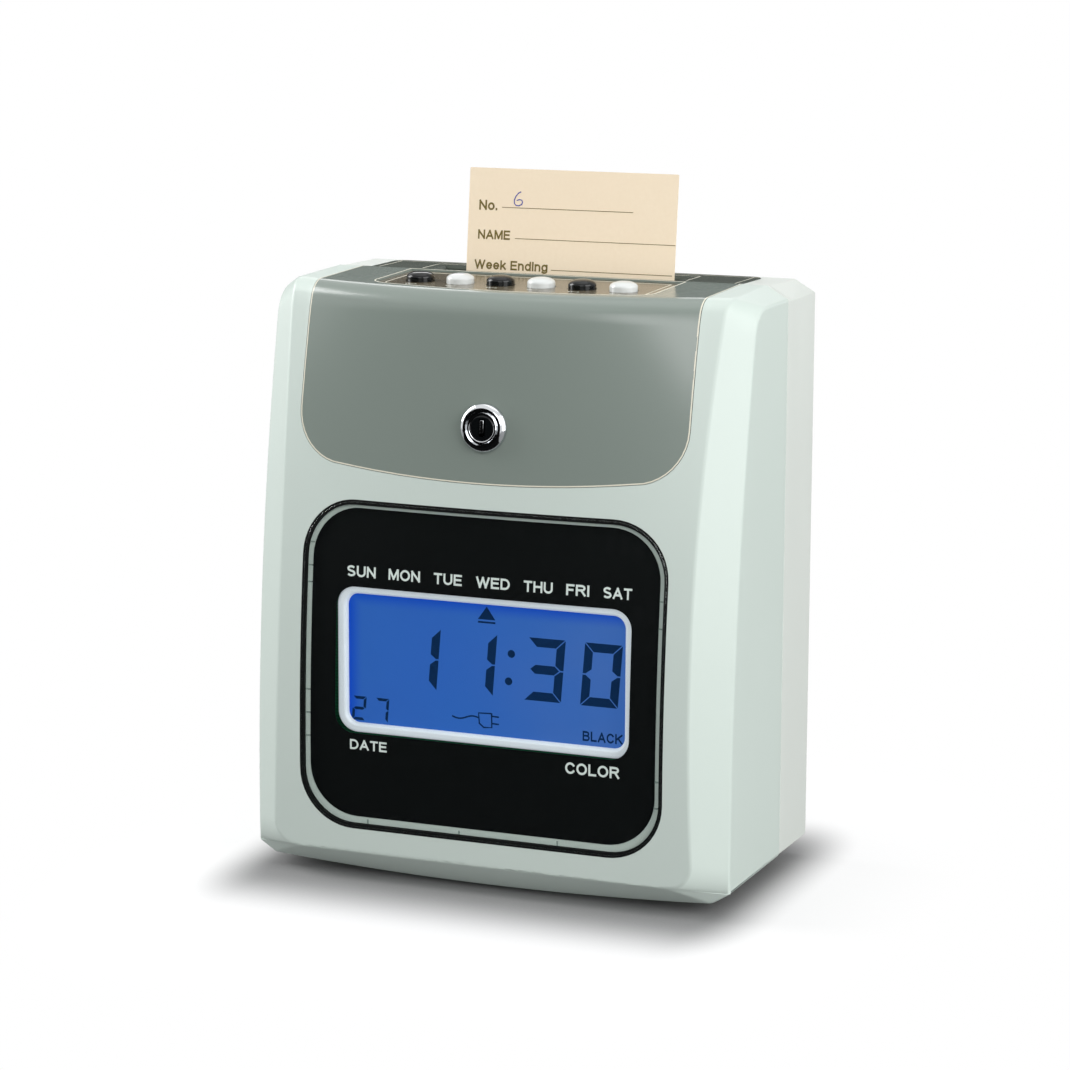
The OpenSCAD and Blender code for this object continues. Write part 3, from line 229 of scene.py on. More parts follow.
def moulded_plastic(name, code, rough, grain, depth, uneven, gloss=0.5):
    """Moulded plastic of a colour that is uneven by a small share. The skin's grain and depth are in mm, the
    grain as coarse as it needs to show."""
    cloud_size = 71.4 * MM
    material, tree = new_material(name)
    place = add(tree, "ShaderNodeTexCoord")
    cloud = add(tree, "ShaderNodeTexNoise", {
        "Vector": place.outputs["Object"], "Scale": 1 / cloud_size, "Detail": 4.0})
    base = tint(code)
    # The colour sockets of a Mix node are its inputs 6 and 7 and its output 2
    colour = add(tree, "ShaderNodeMix", {
        0: cloud.outputs["Fac"], 6: [c * (1 - uneven) for c in base[:3]] + [1],
        7: [min(1, c * (1 + uneven)) for c in base[:3]] + [1]}, data_type="RGBA")
    skin = add(tree, "ShaderNodeTexNoise", {
        "Vector": place.outputs["Object"], "Scale": 1 / (grain * MM), "Detail": 2.0})
    wear = add(tree, "ShaderNodeMapRange", {
        "Value": cloud.outputs["Fac"], "To Min": max(0.02, rough - 0.03), "To Max": rough + 0.03})
    bump = add(tree, "ShaderNodeBump", {
        "Height": skin.outputs["Fac"], "Distance": depth * MM, "Strength": 0.6})
    shader = add(tree, "ShaderNodeBsdfPrincipled", {
        "Base Color": colour.outputs[2], "Roughness": wear.outputs["Result"], "IOR": 1.52,
        "Specular IOR Level": gloss, "Normal": bump.outputs["Normal"]})
    add(tree, "ShaderNodeOutputMaterial", {"Surface": shader.outputs[0]})
    return material


# Gloss ABS: pale grey-green with soft, slightly blurred reflections
cover_abs = moulded_plastic("pale_gloss_abs", "C5D0C9", 0.36, 0.5, 0.004, 0.015, 0.32)
cheek_y = front_y + 10.7 * MM
cheek_z = 25 * MM
cheek_bow = 0.88
cheek_slant = 0.86
chin_in = 7 * MM
side_z = 9 * MM
face_z = 11.5 * MM
face_corner = 10 * MM
crown_z = 1.6 * MM
crown_rise = 3 * MM
brow_r = 9 * MM
brow_z = crest_z - brow_r - 2 * MM
shoulder_w = 8.5 * MM
shoulder_h = 5 * MM
shoulder_r = 13 * MM
corner_steps = 8
face_steps = 16
brow_steps = 8
across_steps = 14
edge_round = 0.9 * MM
# Shares of a skin's inset by which its slanted cheeks, its crown and its shoulders step in
cheek_step = 0.42
crown_step = 0.3
shoulder_step = 0.6


def cheek(z):
    """Depth of the edge between the chamfer and the flat side."""
    return cheek_y + (z - cheek_z) ** 2 / (2 * cheek_bow)


def face_x(z):
    """Half width of the bowed face, where the chamfer starts, with the chin's rounded corners."""
    low = face_z + face_corner - z
    corner = face_corner - math.sqrt(max(0, face_corner ** 2 - low ** 2)) if low > 0 else 0
    return half_w - (cheek(z) - face_y(edge_x, z)) / cheek_slant - corner


def fillet(k, r, lean, slope, t):
    """Point (y, z) at share t of a fillet between a face leaning back and a top sloping by an angle."""
    length = r * math.tan((math.pi / 2 - lean - slope) / 2)
    middle_y = k[0] + length * math.cos(slope) + r * math.sin(slope)
    middle_z = k[1] + length * math.sin(slope) - r * math.cos(slope)
    turn = lean + (math.pi / 2 - lean - slope) * t
    return middle_y - r * math.cos(turn), middle_z + r * math.sin(turn)


def top_z(y):
    """Height of the sloping top at a depth."""
    return crest_z - (seam_y - y) * math.tan(top_slope)


def face_level(j):
    """Height of row j of the face, closer together round the lower corners."""
    if j <= corner_steps:
        return face_z + face_corner * (1 - math.cos(math.pi / 2 * j / corner_steps))
    low = face_z + face_corner
    return low + (brow_z - low) * (j - corner_steps) / face_steps


def section_point(j, u, o, rear):
    """Point j of an upright section, from the underside over the face and brow to the top's rear end."""
    last = corner_steps + face_steps
    t = (j - last - 2) / brow_steps
    if j < 2:
        y = rear if j == 0 else cheek_y + cheek_step * o
        return u * (half_w - chin_in - crown_step * o), y, crown_z + o + crown_rise * u * u
    if j <= last + 2:
        z = face_level(j - 2)
        x = u * (face_x(z) - cheek_step * o)
        return x, face_y(x, z) + o, z + cheek_step * o * max(0, 1 - (z - face_z) / face_corner)
    part = min(t, 1)
    width = face_x(brow_z) * (1 - part) + (half_w - shoulder_w) * part
    x = u * (width - crown_step * o)
    if t > 1:
        return x, rear, top_z(rear) - o
    y = face_y(x, crest_z)
    lean = math.atan((crest_z - bulge_z) / bow_at(x))
    p = fillet((y, top_z(y)), brow_r, lean, top_slope, t)
    return x, p[0] + o * math.cos(lean * (1 - t)) * (1 - t), p[1] - o * t


def side_point(j, side, o, rear):
    """Point j of the outline of a flat side, level with the same point of the sections."""
    last = corner_steps + face_steps
    t = (j - last - 2) / brow_steps
    top = crest_z - shoulder_h - shoulder_step * o
    k = (cheek(top) + cheek_step * o, top)
    lean = math.atan((top - cheek_z) / cheek_bow)
    end = fillet(k, shoulder_r, lean, 0, 0)[1]
    low = side_z + 0.4 * o
    x = side * (half_w - o)
    if j < 3:
        return x, rear if j == 0 else cheek_y + cheek_step * o, low
    if j <= last + 2:
        z = low + (end - low) * (face_level(j - 2) - face_z) / (face_level(last) - face_z)
        return x, cheek(z) + cheek_step * o, z
    if t <= 1:
        return (x, *fillet(k, shoulder_r, lean, 0, t))
    return x, rear, top


def case_front(o, rear, rounded=False):
    """Closed solid of the bowed front with its skin set in by o and its rear end at the given depth."""
    bm = bmesh.new()
    count = corner_steps + face_steps + brow_steps + 4
    rows = [[bm.verts.new(side_point(j, -1, o, rear)) for j in range(count)]]
    for i in range(-across_steps, across_steps + 1):
        rows.append([bm.verts.new(section_point(j, i / across_steps, o, rear)) for j in range(count)])
    rows.append([bm.verts.new(side_point(j, 1, o, rear)) for j in range(count)])
    for left, right in zip(rows, rows[1:]):
        for j in range(count - 1):
            bm.faces.new((left[j], left[j + 1], right[j + 1], right[j]))
    bm.faces.new([row[0] for row in rows] + [row[-1] for row in reversed(rows)])
    bm.faces.new(list(reversed(rows[0])))
    bm.faces.new(rows[-1])
    bmesh.ops.remove_doubles(bm, verts=bm.verts, dist=1e-6)
    bmesh.ops.recalc_face_normals(bm, faces=bm.faces)
    if rounded:
        sharp = [e for e in bm.edges if e.calc_face_angle(0) > math.radians(24)
                 and min(v.co.y for v in e.verts) < rear - 1 * MM]
        bmesh.ops.bevel(bm, geom=sharp, offset=edge_round, segments=3, profile=0.5, affect="EDGES",
                        clamp_overlap=False)
    return bm


def prism(outline, y0, y1):
    """Solid from an outline of (x, z) points between two depths."""
    bm = bmesh.new()
    front = [bm.verts.new((x, y0, z)) for x, z in outline]
    rear = [bm.verts.new((x, y1, z)) for x, z in outline]
    bm.faces.new(front)
    bm.faces.new(rear)
    for a in range(len(outline)):
        b = (a + 1) % len(outline)
        bm.faces.new((front[a], front[b], rear[b], rear[a]))
    bmesh.ops.recalc_face_normals(bm, faces=bm.faces)
    return bm


def block(low, high):
    """Box between two opposite corners."""
    outline = [(low[0], low[2]), (high[0], low[2]), (high[0], high[2]), (low[0], high[2])]
    return prism(outline, low[1], high[1])


def rod(start, end, radius):
    """Closed cylinder between two points."""
    start, end = Vector(start), Vector(end)
    bm = bmesh.new()
    bmesh.ops.create_cone(bm, cap_ends=True, segments=48, radius1=radius, radius2=radius,
                          depth=(end - start).length)
    turn = (end - start).to_track_quat("Z", "Y").to_matrix().to_4x4()
    bm.transform(Matrix.Translation((start + end) / 2) @ turn)
    return bm


def carve(bm, steps):
    """Runs boolean steps, each an operation and a bmesh, and returns the result as a bmesh."""
    def as_object(part):
        mesh = bpy.data.meshes.new("working")
        part.to_mesh(mesh)
        part.free()
        made = bpy.data.objects.new("working", mesh)
        bpy.context.scene.collection.objects.link(made)
        return made
    base = as_object(bm)
    tools = []
    for operation, part in steps:
        tool = as_object(part)
        tools.append(tool)
        change = base.modifiers.new("carve", "BOOLEAN")
        change.operation = operation
        change.object = tool
        change.solver = "EXACT"
    depsgraph = bpy.context.evaluated_depsgraph_get()
    result = bmesh.new()
    result.from_mesh(base.evaluated_get(depsgraph).to_mesh())
    for used in [base, *tools]:
        bpy.data.meshes.remove(used.data)
    return result


def rounded_outline(half_x, z0, z1, r, grow=0.0):
    """Rounded rectangle round x = 0 as (x, z) points, from the right-hand side counter-clockwise."""
    per_corner, per_edge = 12, 10
    hx, r = half_x + grow, r + grow
    z0, z1 = z0 - grow, z1 + grow
    points = []
    corners = [(hx - r, z1 - r, 0), (-hx + r, z1 - r, 90), (-hx + r, z0 + r, 180), (hx - r, z0 + r, 270)]
    for n, (cx, cz, start) in enumerate(corners):
        arc = [(cx + r * math.cos(math.radians(start + 90 * k / per_corner)),
                cz + r * math.sin(math.radians(start + 90 * k / per_corner))) for k in range(per_corner + 1)]
        nx, nz, turn = corners[(n + 1) % 4]
        goal = (nx + r * math.cos(math.radians(turn)), nz + r * math.sin(math.radians(turn)))
        points += arc
        points += [tuple(a + (b - a) * k / per_edge for a, b in zip(arc[-1], goal))
                   for k in range(1, per_edge)]
    return points


def fascia_outline(grow):
    """Outline of the grey fascia: upright sides, round lower corners and an arched lower edge."""
    half, low, rise, r = 78.5 * MM, 157 * MM, 3.4 * MM, 20 * MM
    xb = half - r
    zc = low + rise + r
    points = [(xb * i / 12, low + rise * (i / 12) ** 2 - grow) for i in range(-12, 13)]
    turns = [math.radians(12 + 78 * k / 9) for k in range(10)]
    points += [(xb + (r + grow) * math.sin(a), zc - (r + grow) * math.cos(a)) for a in turns]
    points += [(half + grow, crest_z + 20 * MM), (-half - grow, crest_z + 20 * MM)]
    points += [(-xb - (r + grow) * math.sin(a), zc - (r + grow) * math.cos(a)) for a in reversed(turns)]
    return points


# Cutters start well in front of the face and end well behind its skin or past the seam
ahead = front_y - 5 * MM
inside = front_y + 20 * MM
past_seam = seam_y + 4 * MM
lens_outline = dict(half_x=73.5 * MM, z0=21.3 * MM, z1=147.1 * MM, r=21.5 * MM)
key_hole_r = 5.6 * MM
key_spots = [(i - 2.5) * 16.56 * MM for i in range(6)]
key_frame = (Matrix.Translation((0, seam_y, crest_z)) @ Matrix.Rotation(top_slope, 4, "X")
             @ Matrix.Translation((0, -26.5 * MM, 0)))
lock_z = 178 * MM
lock_frame = (Matrix.Translation((0, face_y(0, lock_z), lock_z))
              @ Matrix.Rotation(-math.atan((lock_z - bulge_z) / bow_mid), 4, "X")
              @ Matrix.Rotation(-math.pi / 2, 4, "X"))
lock_hole_r = 7.2 * MM
hinge_y, hinge_z = -40 * MM, 10.5 * MM
hinge_x = 60 * MM
hinge_half = 4 * MM
boss_r = 4.3 * MM
pin_hole_r = 2.05 * MM
post_r = 3 * MM
post_x = 71 * MM
post_levels = (31.3 * MM, 138.1 * MM)
post_end_y = -36.4 * MM
key_post_x = 53 * MM
recess = 0.2 * MM
ledge = 6 * MM
# The case's ears pass the hinge bosses at these places across, in mm, each 4 mm wide with 0.4 mm to spare
case_ears = (-68.4, -55.6, 51.6, 64.4)


def key_holes():
    """Cutters for the six key holes."""
    return [("DIFFERENCE", rod(*(key_frame @ Vector((x, 0, end)) for end in (-8 * MM, 8 * MM)), key_hole_r))
            for x in key_spots]


def lock_hole():
    """Cutter for the lock's hole."""
    return "DIFFERENCE", rod(*(lock_frame @ Vector((0, 0, end)) for end in (-6 * MM, 10 * MM)), lock_hole_r)


fascia_seat = carve(prism(fascia_outline(recess), ahead, seam_y + 1 * MM),
                    [("DIFFERENCE", case_front(2.0 * MM, past_seam))])
lens_seat = carve(prism(rounded_outline(**lens_outline, grow=0.5 * MM), ahead, front_y + 15 * MM),
                  [("DIFFERENCE", case_front(2.2 * MM, past_seam))])
# The shell is hollowed, cut off at the seam, let in for the overlay and the lens, and opened for the display
# and the base. Bosses and posts are added, and the holes come last
steps = [
    ("DIFFERENCE", case_front(wall, seam_y + 7 * MM)),
    ("DIFFERENCE", block((-0.11, seam_y, -0.001), (0.11, seam_y + 0.02, 0.24))),
    ("DIFFERENCE", fascia_seat),
    ("DIFFERENCE", lens_seat),
    ("DIFFERENCE", prism(rounded_outline(**lens_outline, grow=-ledge), ahead, inside)),
    ("DIFFERENCE", block((-0.0939, -0.0381, -0.001), (0.0939, 0.066, 0.012)))]
for side in (-1, 1):
    x = side * hinge_x
    boss = rod((x - hinge_half, hinge_y, hinge_z), (x + hinge_half, hinge_y, hinge_z), boss_r)
    steps.append(("UNION", boss))
    web = block((x - hinge_half, hinge_y - boss_r, 0), (x + hinge_half, hinge_y + 1.8 * MM, hinge_z))
    steps.append(("UNION", carve(web, [("INTERSECT", case_front(wall - 0.5 * MM, seam_y))])))
    steps.append(("UNION", rod(key_frame @ Vector((side * key_post_x, 0, -11 * MM)),
                               key_frame @ Vector((side * key_post_x, 0, -3 * MM)), post_r)))
    for z in post_levels:
        foot_y = face_y(post_x, z) + 3 * MM
        steps.append(("UNION", rod((side * post_x, foot_y, z), (side * post_x, post_end_y, z), post_r)))
    pin_hole = rod((x - 20 * MM, hinge_y, hinge_z), (x + 20 * MM, hinge_y, hinge_z), pin_hole_r)
    steps.append(("DIFFERENCE", pin_hole))
for x in case_ears:
    ear = (x - 0.4) * MM, (x + 4.4) * MM
    steps.append(("DIFFERENCE", rod((ear[0], hinge_y, hinge_z), (ear[1], hinge_y, hinge_z), 4.7 * MM)))
    steps.append(("DIFFERENCE", block((ear[0], -38.8 * MM, -0.001), (ear[1], -36.8 * MM, 0.012))))
steps += [*key_holes(), lock_hole()]


def new_piece(name, bm, material, body, replaced=(), smooth_angle=30):
    """Turns a bmesh into a finished piece that rides a body and stands for CAD nodes."""
    mesh = bpy.data.meshes.new(name)
    bm.to_mesh(mesh)
    bm.free()
    return finish_piece(bpy.data.objects.new(name, mesh), material, body, replaced, smooth_angle)


def finish_piece(piece, material, body, replaced=(), smooth_angle=30):
    """Gives an object its material and even shading up to an angle, and ties it to its body and CAD nodes."""
    if piece.name not in bpy.context.scene.collection.objects:
        bpy.context.scene.collection.objects.link(piece)
    if material:
        piece.data.materials.clear()
        piece.data.materials.append(material)
    piece.data.shade_smooth()
    piece.data.set_sharp_from_angle(angle=math.radians(smooth_angle))
    even = piece.modifiers.new("even_shading", "WEIGHTED_NORMAL")
    even.keep_sharp = True
    depsgraph = bpy.context.evaluated_depsgraph_get()
    mesh = bpy.data.meshes.new_from_object(piece.evaluated_get(depsgraph), preserve_all_data_layers=True,
                                           depsgraph=depsgraph)
    piece.modifiers.clear()
    piece.data = mesh
    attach(piece, body)
    if replaced:
        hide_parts(*replaced)
    return piece


shell = carve(case_front(0, seam_y + 6 * MM, rounded=True), steps)
cover = new_piece("cover_moulding", shell, cover_abs, "cover", ["front_cover"], 28)

# The fascia is a thin overlay moulding in glossy grey-green plastic, let into the cover flush and wrapped
# over the brow to the seam. It has a shallow tray for the keys and a hole for the lock
tray_depth = 0.7 * MM
# Gloss overlay plastic: a smooth grey-green that mirrors the room softly
fascia_plastic = moulded_plastic("glossy_grey_overlay", "7D8780", 0.2, 0.35, 0.002, 0.02)


def tray_outline(grow=0.0):
    """Plan of the key tray as (x, y) points drawn forward from the crest, its front bowed with the brow."""
    half, corner, bow, y0 = 56 * MM, 10 * MM, 5 * MM, -33 * MM
    xr, r = half - corner, corner + grow
    turns = [math.radians(a) for a in range(10, 90, 10)]
    points = [(-half - grow, -2 * MM + grow), (-half - grow, y0)]
    points += [(-xr - r * math.cos(a), y0 - r * math.sin(a) * 0.8) for a in turns]
    points += [(xr * i / 8, y0 - corner * 0.8 - grow - bow * (1 - (i / 8) ** 2)) for i in range(-8, 9)]
    points += [(xr + r * math.cos(a), y0 - r * math.sin(a) * 0.8) for a in reversed(turns)]
    return points + [(half + grow, y0), (half + grow, -2 * MM + grow)]


top_frame = Matrix.Translation((0, seam_y, crest_z)) @ Matrix.Rotation(top_slope, 4, "X")


def upright(outline, low, high):
    """Solid from an outline of (x, y) points between two heights over the crest."""
    bm = prism(outline, low, high)
    bm.transform(top_frame @ Matrix(((1, 0, 0, 0), (0, 0, 1, 0), (0, 1, 0, 0), (0, 0, 0, 1))))
    bmesh.ops.recalc_face_normals(bm, faces=bm.faces)
    return bm


shell = carve(case_front(0, seam_y), [
    ("INTERSECT", prism(fascia_outline(0), ahead, seam_y)),
    ("DIFFERENCE", case_front(1.8 * MM, past_seam)),
    ("DIFFERENCE", upright(tray_outline(), -tray_depth, 5 * MM)), *key_holes(), lock_hole()])
fascia = new_piece("fascia_overlay", shell, fascia_plastic, "cover", ["fascia"], 28)
# Tray floor: the same plastic, tinted warm brown-grey as a painted reflection of the card standing behind it,
# which sets the keys off
tray_card_reflection = moulded_plastic("glossy_grey_painted_card_reflection", "605847", 0.2, 0.35, 0.002, 0.02)
fascia.data.materials.append(tray_card_reflection)
for face in fascia.data.polygons:
    drop = (top_frame.inverted() @ face.center).z
    if abs(drop + tray_depth) < 0.01 * MM and face.normal.z > 0.99:
        face.material_index = 1

# A narrow bright line just inside the fascia's edge is a painted highlight of the overlay's cut edge. Two
# lines are printed round the key tray, where the pale ink also marks the keys' two uses in letters too small
# to read from afar.
# Pale ink: a clear, dull cream, used for the printed lines and for painted edge highlights
ink_and_edge_highlight = moulded_plastic("pale_ink_and_painted_edge_highlight", "D9D5C3", 0.35, 0.2, 0.001, 0.01)
# Label ink: a little greyer, as letters this small look from afar
key_ink = moulded_plastic("fine_label_ink", "B9BDB2", 0.4, 0.2, 0.001, 0.01)
line_w = 0.5 * MM
line_margin = 0.05 * MM
ink_rise = 0.03 * MM


def face_line(outer, inner):
    """Line between two solids that run through the skin, laid on the cover's outer face."""
    return carve(outer, [("DIFFERENCE", inner), ("INTERSECT", case_front(-ink_rise, seam_y - 0.1 * MM)),
                         ("DIFFERENCE", case_front(0.3 * MM, past_seam))])


def tray_ring(grow, low, high):
    """Two solids whose difference is a line of the tray's outline, grown outwards by a distance."""
    outer = upright(tray_outline(grow), low, high)
    return outer, upright(tray_outline(grow - line_w), low - 1 * MM, high + 1 * MM)


# Painted highlight: a pale strip along the fascia's edge, standing in for the light its cut edge catches
edge_highlight = face_line(prism(fascia_outline(-line_margin), ahead, seam_y),
                      prism(fascia_outline(-line_margin - line_w), ahead - 1 * MM, seam_y + 1 * MM))
new_piece("fascia_edge_highlight", edge_highlight, ink_and_edge_highlight, "cover")
new_piece("tray_outer_line", face_line(*tray_ring(1.0 * MM, -3 * MM, 3 * MM)), ink_and_edge_highlight, "cover")
outer, inner = tray_ring(-3.2 * MM, -0.9 * MM, -tray_depth + ink_rise)
new_piece("tray_inner_line", carve(outer, [("DIFFERENCE", inner)]), ink_and_edge_highlight, "cover")


def arc(cx, cy, rx, ry, start, end, steps=14):
    """Points of an elliptical arc between two angles in degrees."""
    turns = [math.radians(start + (end - start) * k / steps) for k in range(steps + 1)]
    return [(cx + rx * math.cos(a), cy + ry * math.sin(a)) for a in turns]


def stroke(points, width, extend=0.0):
    """Outline of a pen line of even width through points, its ends lengthened where asked."""
    points = [Vector(p) for p in points]
    points[0] = points[0] + (points[0] - points[1]).normalized() * extend
    points[-1] = points[-1] + (points[-1] - points[-2]).normalized() * extend
    sides = ([], [])
    for n, p in enumerate(points):
        along = (points[min(len(points) - 1, n + 1)] - points[max(0, n - 1)]).normalized() * width / 2
        sides[0].append((p.x - along.y, p.y + along.x))
        sides[1].append((p.x + along.y, p.y - along.x))
    return sides[0] + sides[1][::-1]


letter_thick = 0.02 * MM
stem = [(0, 0), (0, 1)]
ring = arc(0.5, 0.36, 0.5, 0.36, 0, 360, 28)
# Plain block letters: the width of each in cap heights, and the centre lines of its strokes in a unit box
letter_forms = {
    "A": (0.98, [(0, 0), (0.5, 1)], [(1, 0), (0.5, 1)], [(0.2, 0.3), (0.8, 0.3)]),
    "B": (0.9, stem, [(0, 1)] + arc(0.55, 0.77, 0.38, 0.23, 90, -90) + [(0, 0.54)],
          [(0, 0.54)] + arc(0.6, 0.27, 0.4, 0.27, 90, -90) + [(0, 0)]),
    "C": (0.95, arc(0.52, 0.5, 0.52, 0.5, 38, 322, 28)),
    "D": (0.92, stem, [(0, 1)] + arc(0.42, 0.5, 0.58, 0.5, 90, -90, 20) + [(0, 0)]),
    "E": (0.82, stem, [(0, 1), (1, 1)], [(0, 0.52), (0.9, 0.52)], [(0, 0), (1, 0)]),
    "F": (0.76, stem, [(0, 1), (1, 1)], [(0, 0.5), (0.85, 0.5)]),
    "H": (0.9, stem, [(1, 0), (1, 1)], [(0, 0.52), (1, 0.52)]),
    "I": (0.2, [(0.5, 0), (0.5, 1)]),
    "K": (0.92, stem, [(1, 1), (0.05, 0.4)], [(0.35, 0.6), (1, 0)]),
    "L": (0.76, stem, [(0, 0), (1, 0)]),
    "M": (1.06, stem, [(1, 0), (1, 1)], [(0.05, 1), (0.5, 0.05)], [(0.95, 1), (0.5, 0.05)]),
    "N": (0.9, stem, [(1, 0), (1, 1)], [(0, 1), (1, 0)]),
    "O": (1.02, arc(0.5, 0.5, 0.5, 0.5, 0, 360, 36)),
    "R": (0.92, stem, [(0, 1)] + arc(0.6, 0.76, 0.36, 0.24, 90, -90) + [(0, 0.52)], [(0.55, 0.52), (1, 0)]),
    "S": (0.86, arc(0.5, 0.76, 0.46, 0.24, 25, 225) + [(0.5, 0.505)] + arc(0.5, 0.25, 0.5, 0.25, 50, -155)),
    "T": (0.84, [(0.5, 0), (0.5, 1)], [(0, 1), (1, 1)]),
    "U": (0.9, [(0, 1)] + arc(0.5, 0.36, 0.5, 0.36, 180, 360, 20) + [(1, 1)]),
    "W": (1.34, [(0, 1), (0.25, 0)], [(0.25, 0), (0.5, 1)], [(0.5, 1), (0.75, 0)], [(0.75, 0), (1, 1)]),
    "d": (0.76, [(1, 0), (1, 1)], ring), "o": (0.78, ring),
    "i": (0.2, [(0.5, 0), (0.5, 0.72)], [(0.5, 0.96), (0.5, 1)]),
    "e": (0.76, [(0.04, 0.36), (0.96, 0.36)], arc(0.5, 0.36, 0.5, 0.36, 0, 315, 26)),
    "g": (0.76, ring, [(1, 0.72)] + arc(0.5, -0.06, 0.5, 0.22, 0, -150)),
    "k": (0.72, stem, [(0.9, 0.72), (0.05, 0.22)], [(0.35, 0.42), (1, 0)]),
    "n": (0.72, [(0, 0), (0, 0.72)], [(0, 0.4)] + arc(0.5, 0.42, 0.5, 0.3, 165, 0) + [(1, 0)]),
    ".": (0.2, [(0.5, 0), (0.5, 0.05)]), " ": (0.3,)}


def lettering(words, box):
    """Block letters as flat solids, fitted to a box of (x, y) places from baseline to cap top, facing +Z."""
    weight, gap = 0.19, 0.13
    outlines, pen = [], 0.0
    for letter in words:
        width, *strokes = letter_forms[letter]
        inner = max(0, width - weight)
        for line in strokes:
            placed = [(pen + weight / 2 + x * inner, weight / 2 + y * (1 - weight)) for x, y in line]
            closed = line[0] == line[-1] or len(line) > 30
            outlines.append(stroke(placed, weight, 0 if closed else weight / 2))
        pen += width + gap
    pen -= gap
    parts = []
    for n, outline in enumerate(outlines):
        # Neighbouring strokes differ a little in thickness, so that no two faces lie in one plane
        placed = [(box[0] + x / pen * (box[2] - box[0]), box[1] + y * (box[3] - box[1])) for x, y in outline]
        flat = prism(placed, -letter_thick * (1 + 0.02 * (n % 3)), 0)
        flat.transform(Matrix.Rotation(-math.pi / 2, 4, "X"))
        parts.append(flat)
    return joined(parts)


def joined(parts):
    """One bmesh made of several, which are used up."""
    whole = bmesh.new()
    for part in parts:
        mesh = bpy.data.meshes.new("part")
        part.to_mesh(mesh)
        part.free()
        whole.from_mesh(mesh)
        bpy.data.meshes.remove(mesh)
    return whole


labels = []
for n, x in enumerate(key_spots):
    label = lettering("IN" if n % 2 == 0 else "OUT", (x - 2.2 * MM, -9.6 * MM, x + 2.2 * MM, -8.3 * MM))
    label.transform(key_frame @ Matrix.Translation((0, 0, -tray_depth)))
    labels.append(label)
new_piece("key_labels", joined(labels), key_ink, "cover")

# Six push keys stand in the tray: turned, low-domed caps, black and white in turn, with a flange under
# the cover and a stem over a switch. Moulded and polished, so each carries a small sharp highlight
key_r = 5.3 * MM
key_h = 3.6 * MM
flange_r = 6.6 * MM
# Polished ABS, black: deep, with one sharp highlight. White: clean, with a softer one
black_gloss = moulded_plastic("black_polished_abs", "0B0D0E", 0.08, 0.3, 0.0005, 0.02, 0.3)
white_gloss = moulded_plastic("white_polished_abs", "D3D6D4", 0.2, 0.3, 0.001, 0.01)


def lathe(profile, where, sides=64):
    """Closed turned shape from (radius, height) points listed once round the section."""
    bm = bmesh.new()
    rings = []
    for r, h in profile:
        if r < 1e-7:
            rings.append([bm.verts.new((0, 0, h))] * sides)
        else:
            turns = [math.tau * k / sides for k in range(sides)]
            rings.append([bm.verts.new((r * math.cos(a), r * math.sin(a), h)) for a in turns])
    last = len(rings) if profile[0][0] > 1e-7 else len(rings) - 1
    for n in range(last):
        low, high = rings[n], rings[(n + 1) % len(rings)]
        for k in range(sides):
            corners = [low[k], low[(k + 1) % sides], high[(k + 1) % sides], high[k]]
            corners = [c for m, c in enumerate(corners) if c not in corners[:m]]
            if len(corners) > 2:
                bm.faces.new(corners)
    bm.transform(where)
    bmesh.ops.recalc_face_normals(bm, faces=bm.faces)
    return bm


for n, x in enumerate(key_spots):
    dome = key_h - 1.5 * MM
    profile = [(0, -5.5 * MM), (2 * MM, -5.5 * MM), (2 * MM, -4.9 * MM), (flange_r, -4.9 * MM),
               (flange_r, -3.7 * MM), (key_r, -3.7 * MM)]
    profile += [(key_r * math.cos(math.radians(a)) ** 0.8, 0.8 * MM + dome * math.sin(math.radians(a)))
                for a in range(0, 90, 5)] + [(0, 0.8 * MM + dome)]
    cap = lathe(profile, key_frame @ Matrix.Translation((x, 0, 0)))
    piece = new_piece(f"key_cap_{n + 1}", cap, black_gloss if n % 2 == 0 else white_gloss, f"key_{n + 1}",
                      [f"key_{n + 1}"], 40)

# The lock is a turned and chromed flange with a rolled rim and a groove, screwed up from behind by a hexagon
# nut. Its black plug carries the keyway, closed by a small bright shutter, and the cam at the back
lock_r = 9.3 * MM
rim_r = 2.3 * MM
bore_r = 4.85 * MM
plug_r = 4.8 * MM


def polished_metal(name, code, rough, grain=0.3, turn=(1, 1, 1)):
    """Bare or plated metal of a nearly even colour, with fine scratches along the axis of least turn.
    Their grain is in mm, as coarse as it needs to show."""
    cloud_size = 16.7 * MM
    material, tree = new_material(name)
    place = add(tree, "ShaderNodeTexCoord")
    drawn = add(tree, "ShaderNodeMapping", {"Vector": place.outputs["Object"], "Scale": turn})
    lines = add(tree, "ShaderNodeTexNoise", {
        "Vector": drawn.outputs[0], "Scale": 1 / (grain * MM), "Detail": 3.0})
    cloud = add(tree, "ShaderNodeTexNoise", {
        "Vector": place.outputs["Object"], "Scale": 1 / cloud_size, "Detail": 3.0})
    base = tint(code)
    colour = add(tree, "ShaderNodeMix", {
        0: cloud.outputs["Fac"], 6: [c * 0.93 for c in base[:3]] + [1], 7: base}, data_type="RGBA")
    level = add(tree, "ShaderNodeMapRange", {
        "Value": lines.outputs["Fac"], "To Min": max(0.03, rough * 0.75), "To Max": rough * 1.25})
    bump = add(tree, "ShaderNodeBump", {
        "Height": lines.outputs["Fac"], "Distance": 0.002 * MM, "Strength": 0.4})
    shader = add(tree, "ShaderNodeBsdfPrincipled", {
        "Base Color": colour.outputs[2], "Metallic": 1.0, "Roughness": level.outputs["Result"],
        "Normal": bump.outputs["Normal"]})
    add(tree, "ShaderNodeOutputMaterial", {"Surface": shader.outputs[0]})
    return material


# Bright chrome: a mirror that is only a little soft
chrome = polished_metal("bright_chrome_plate", "DADDE0", 0.07)
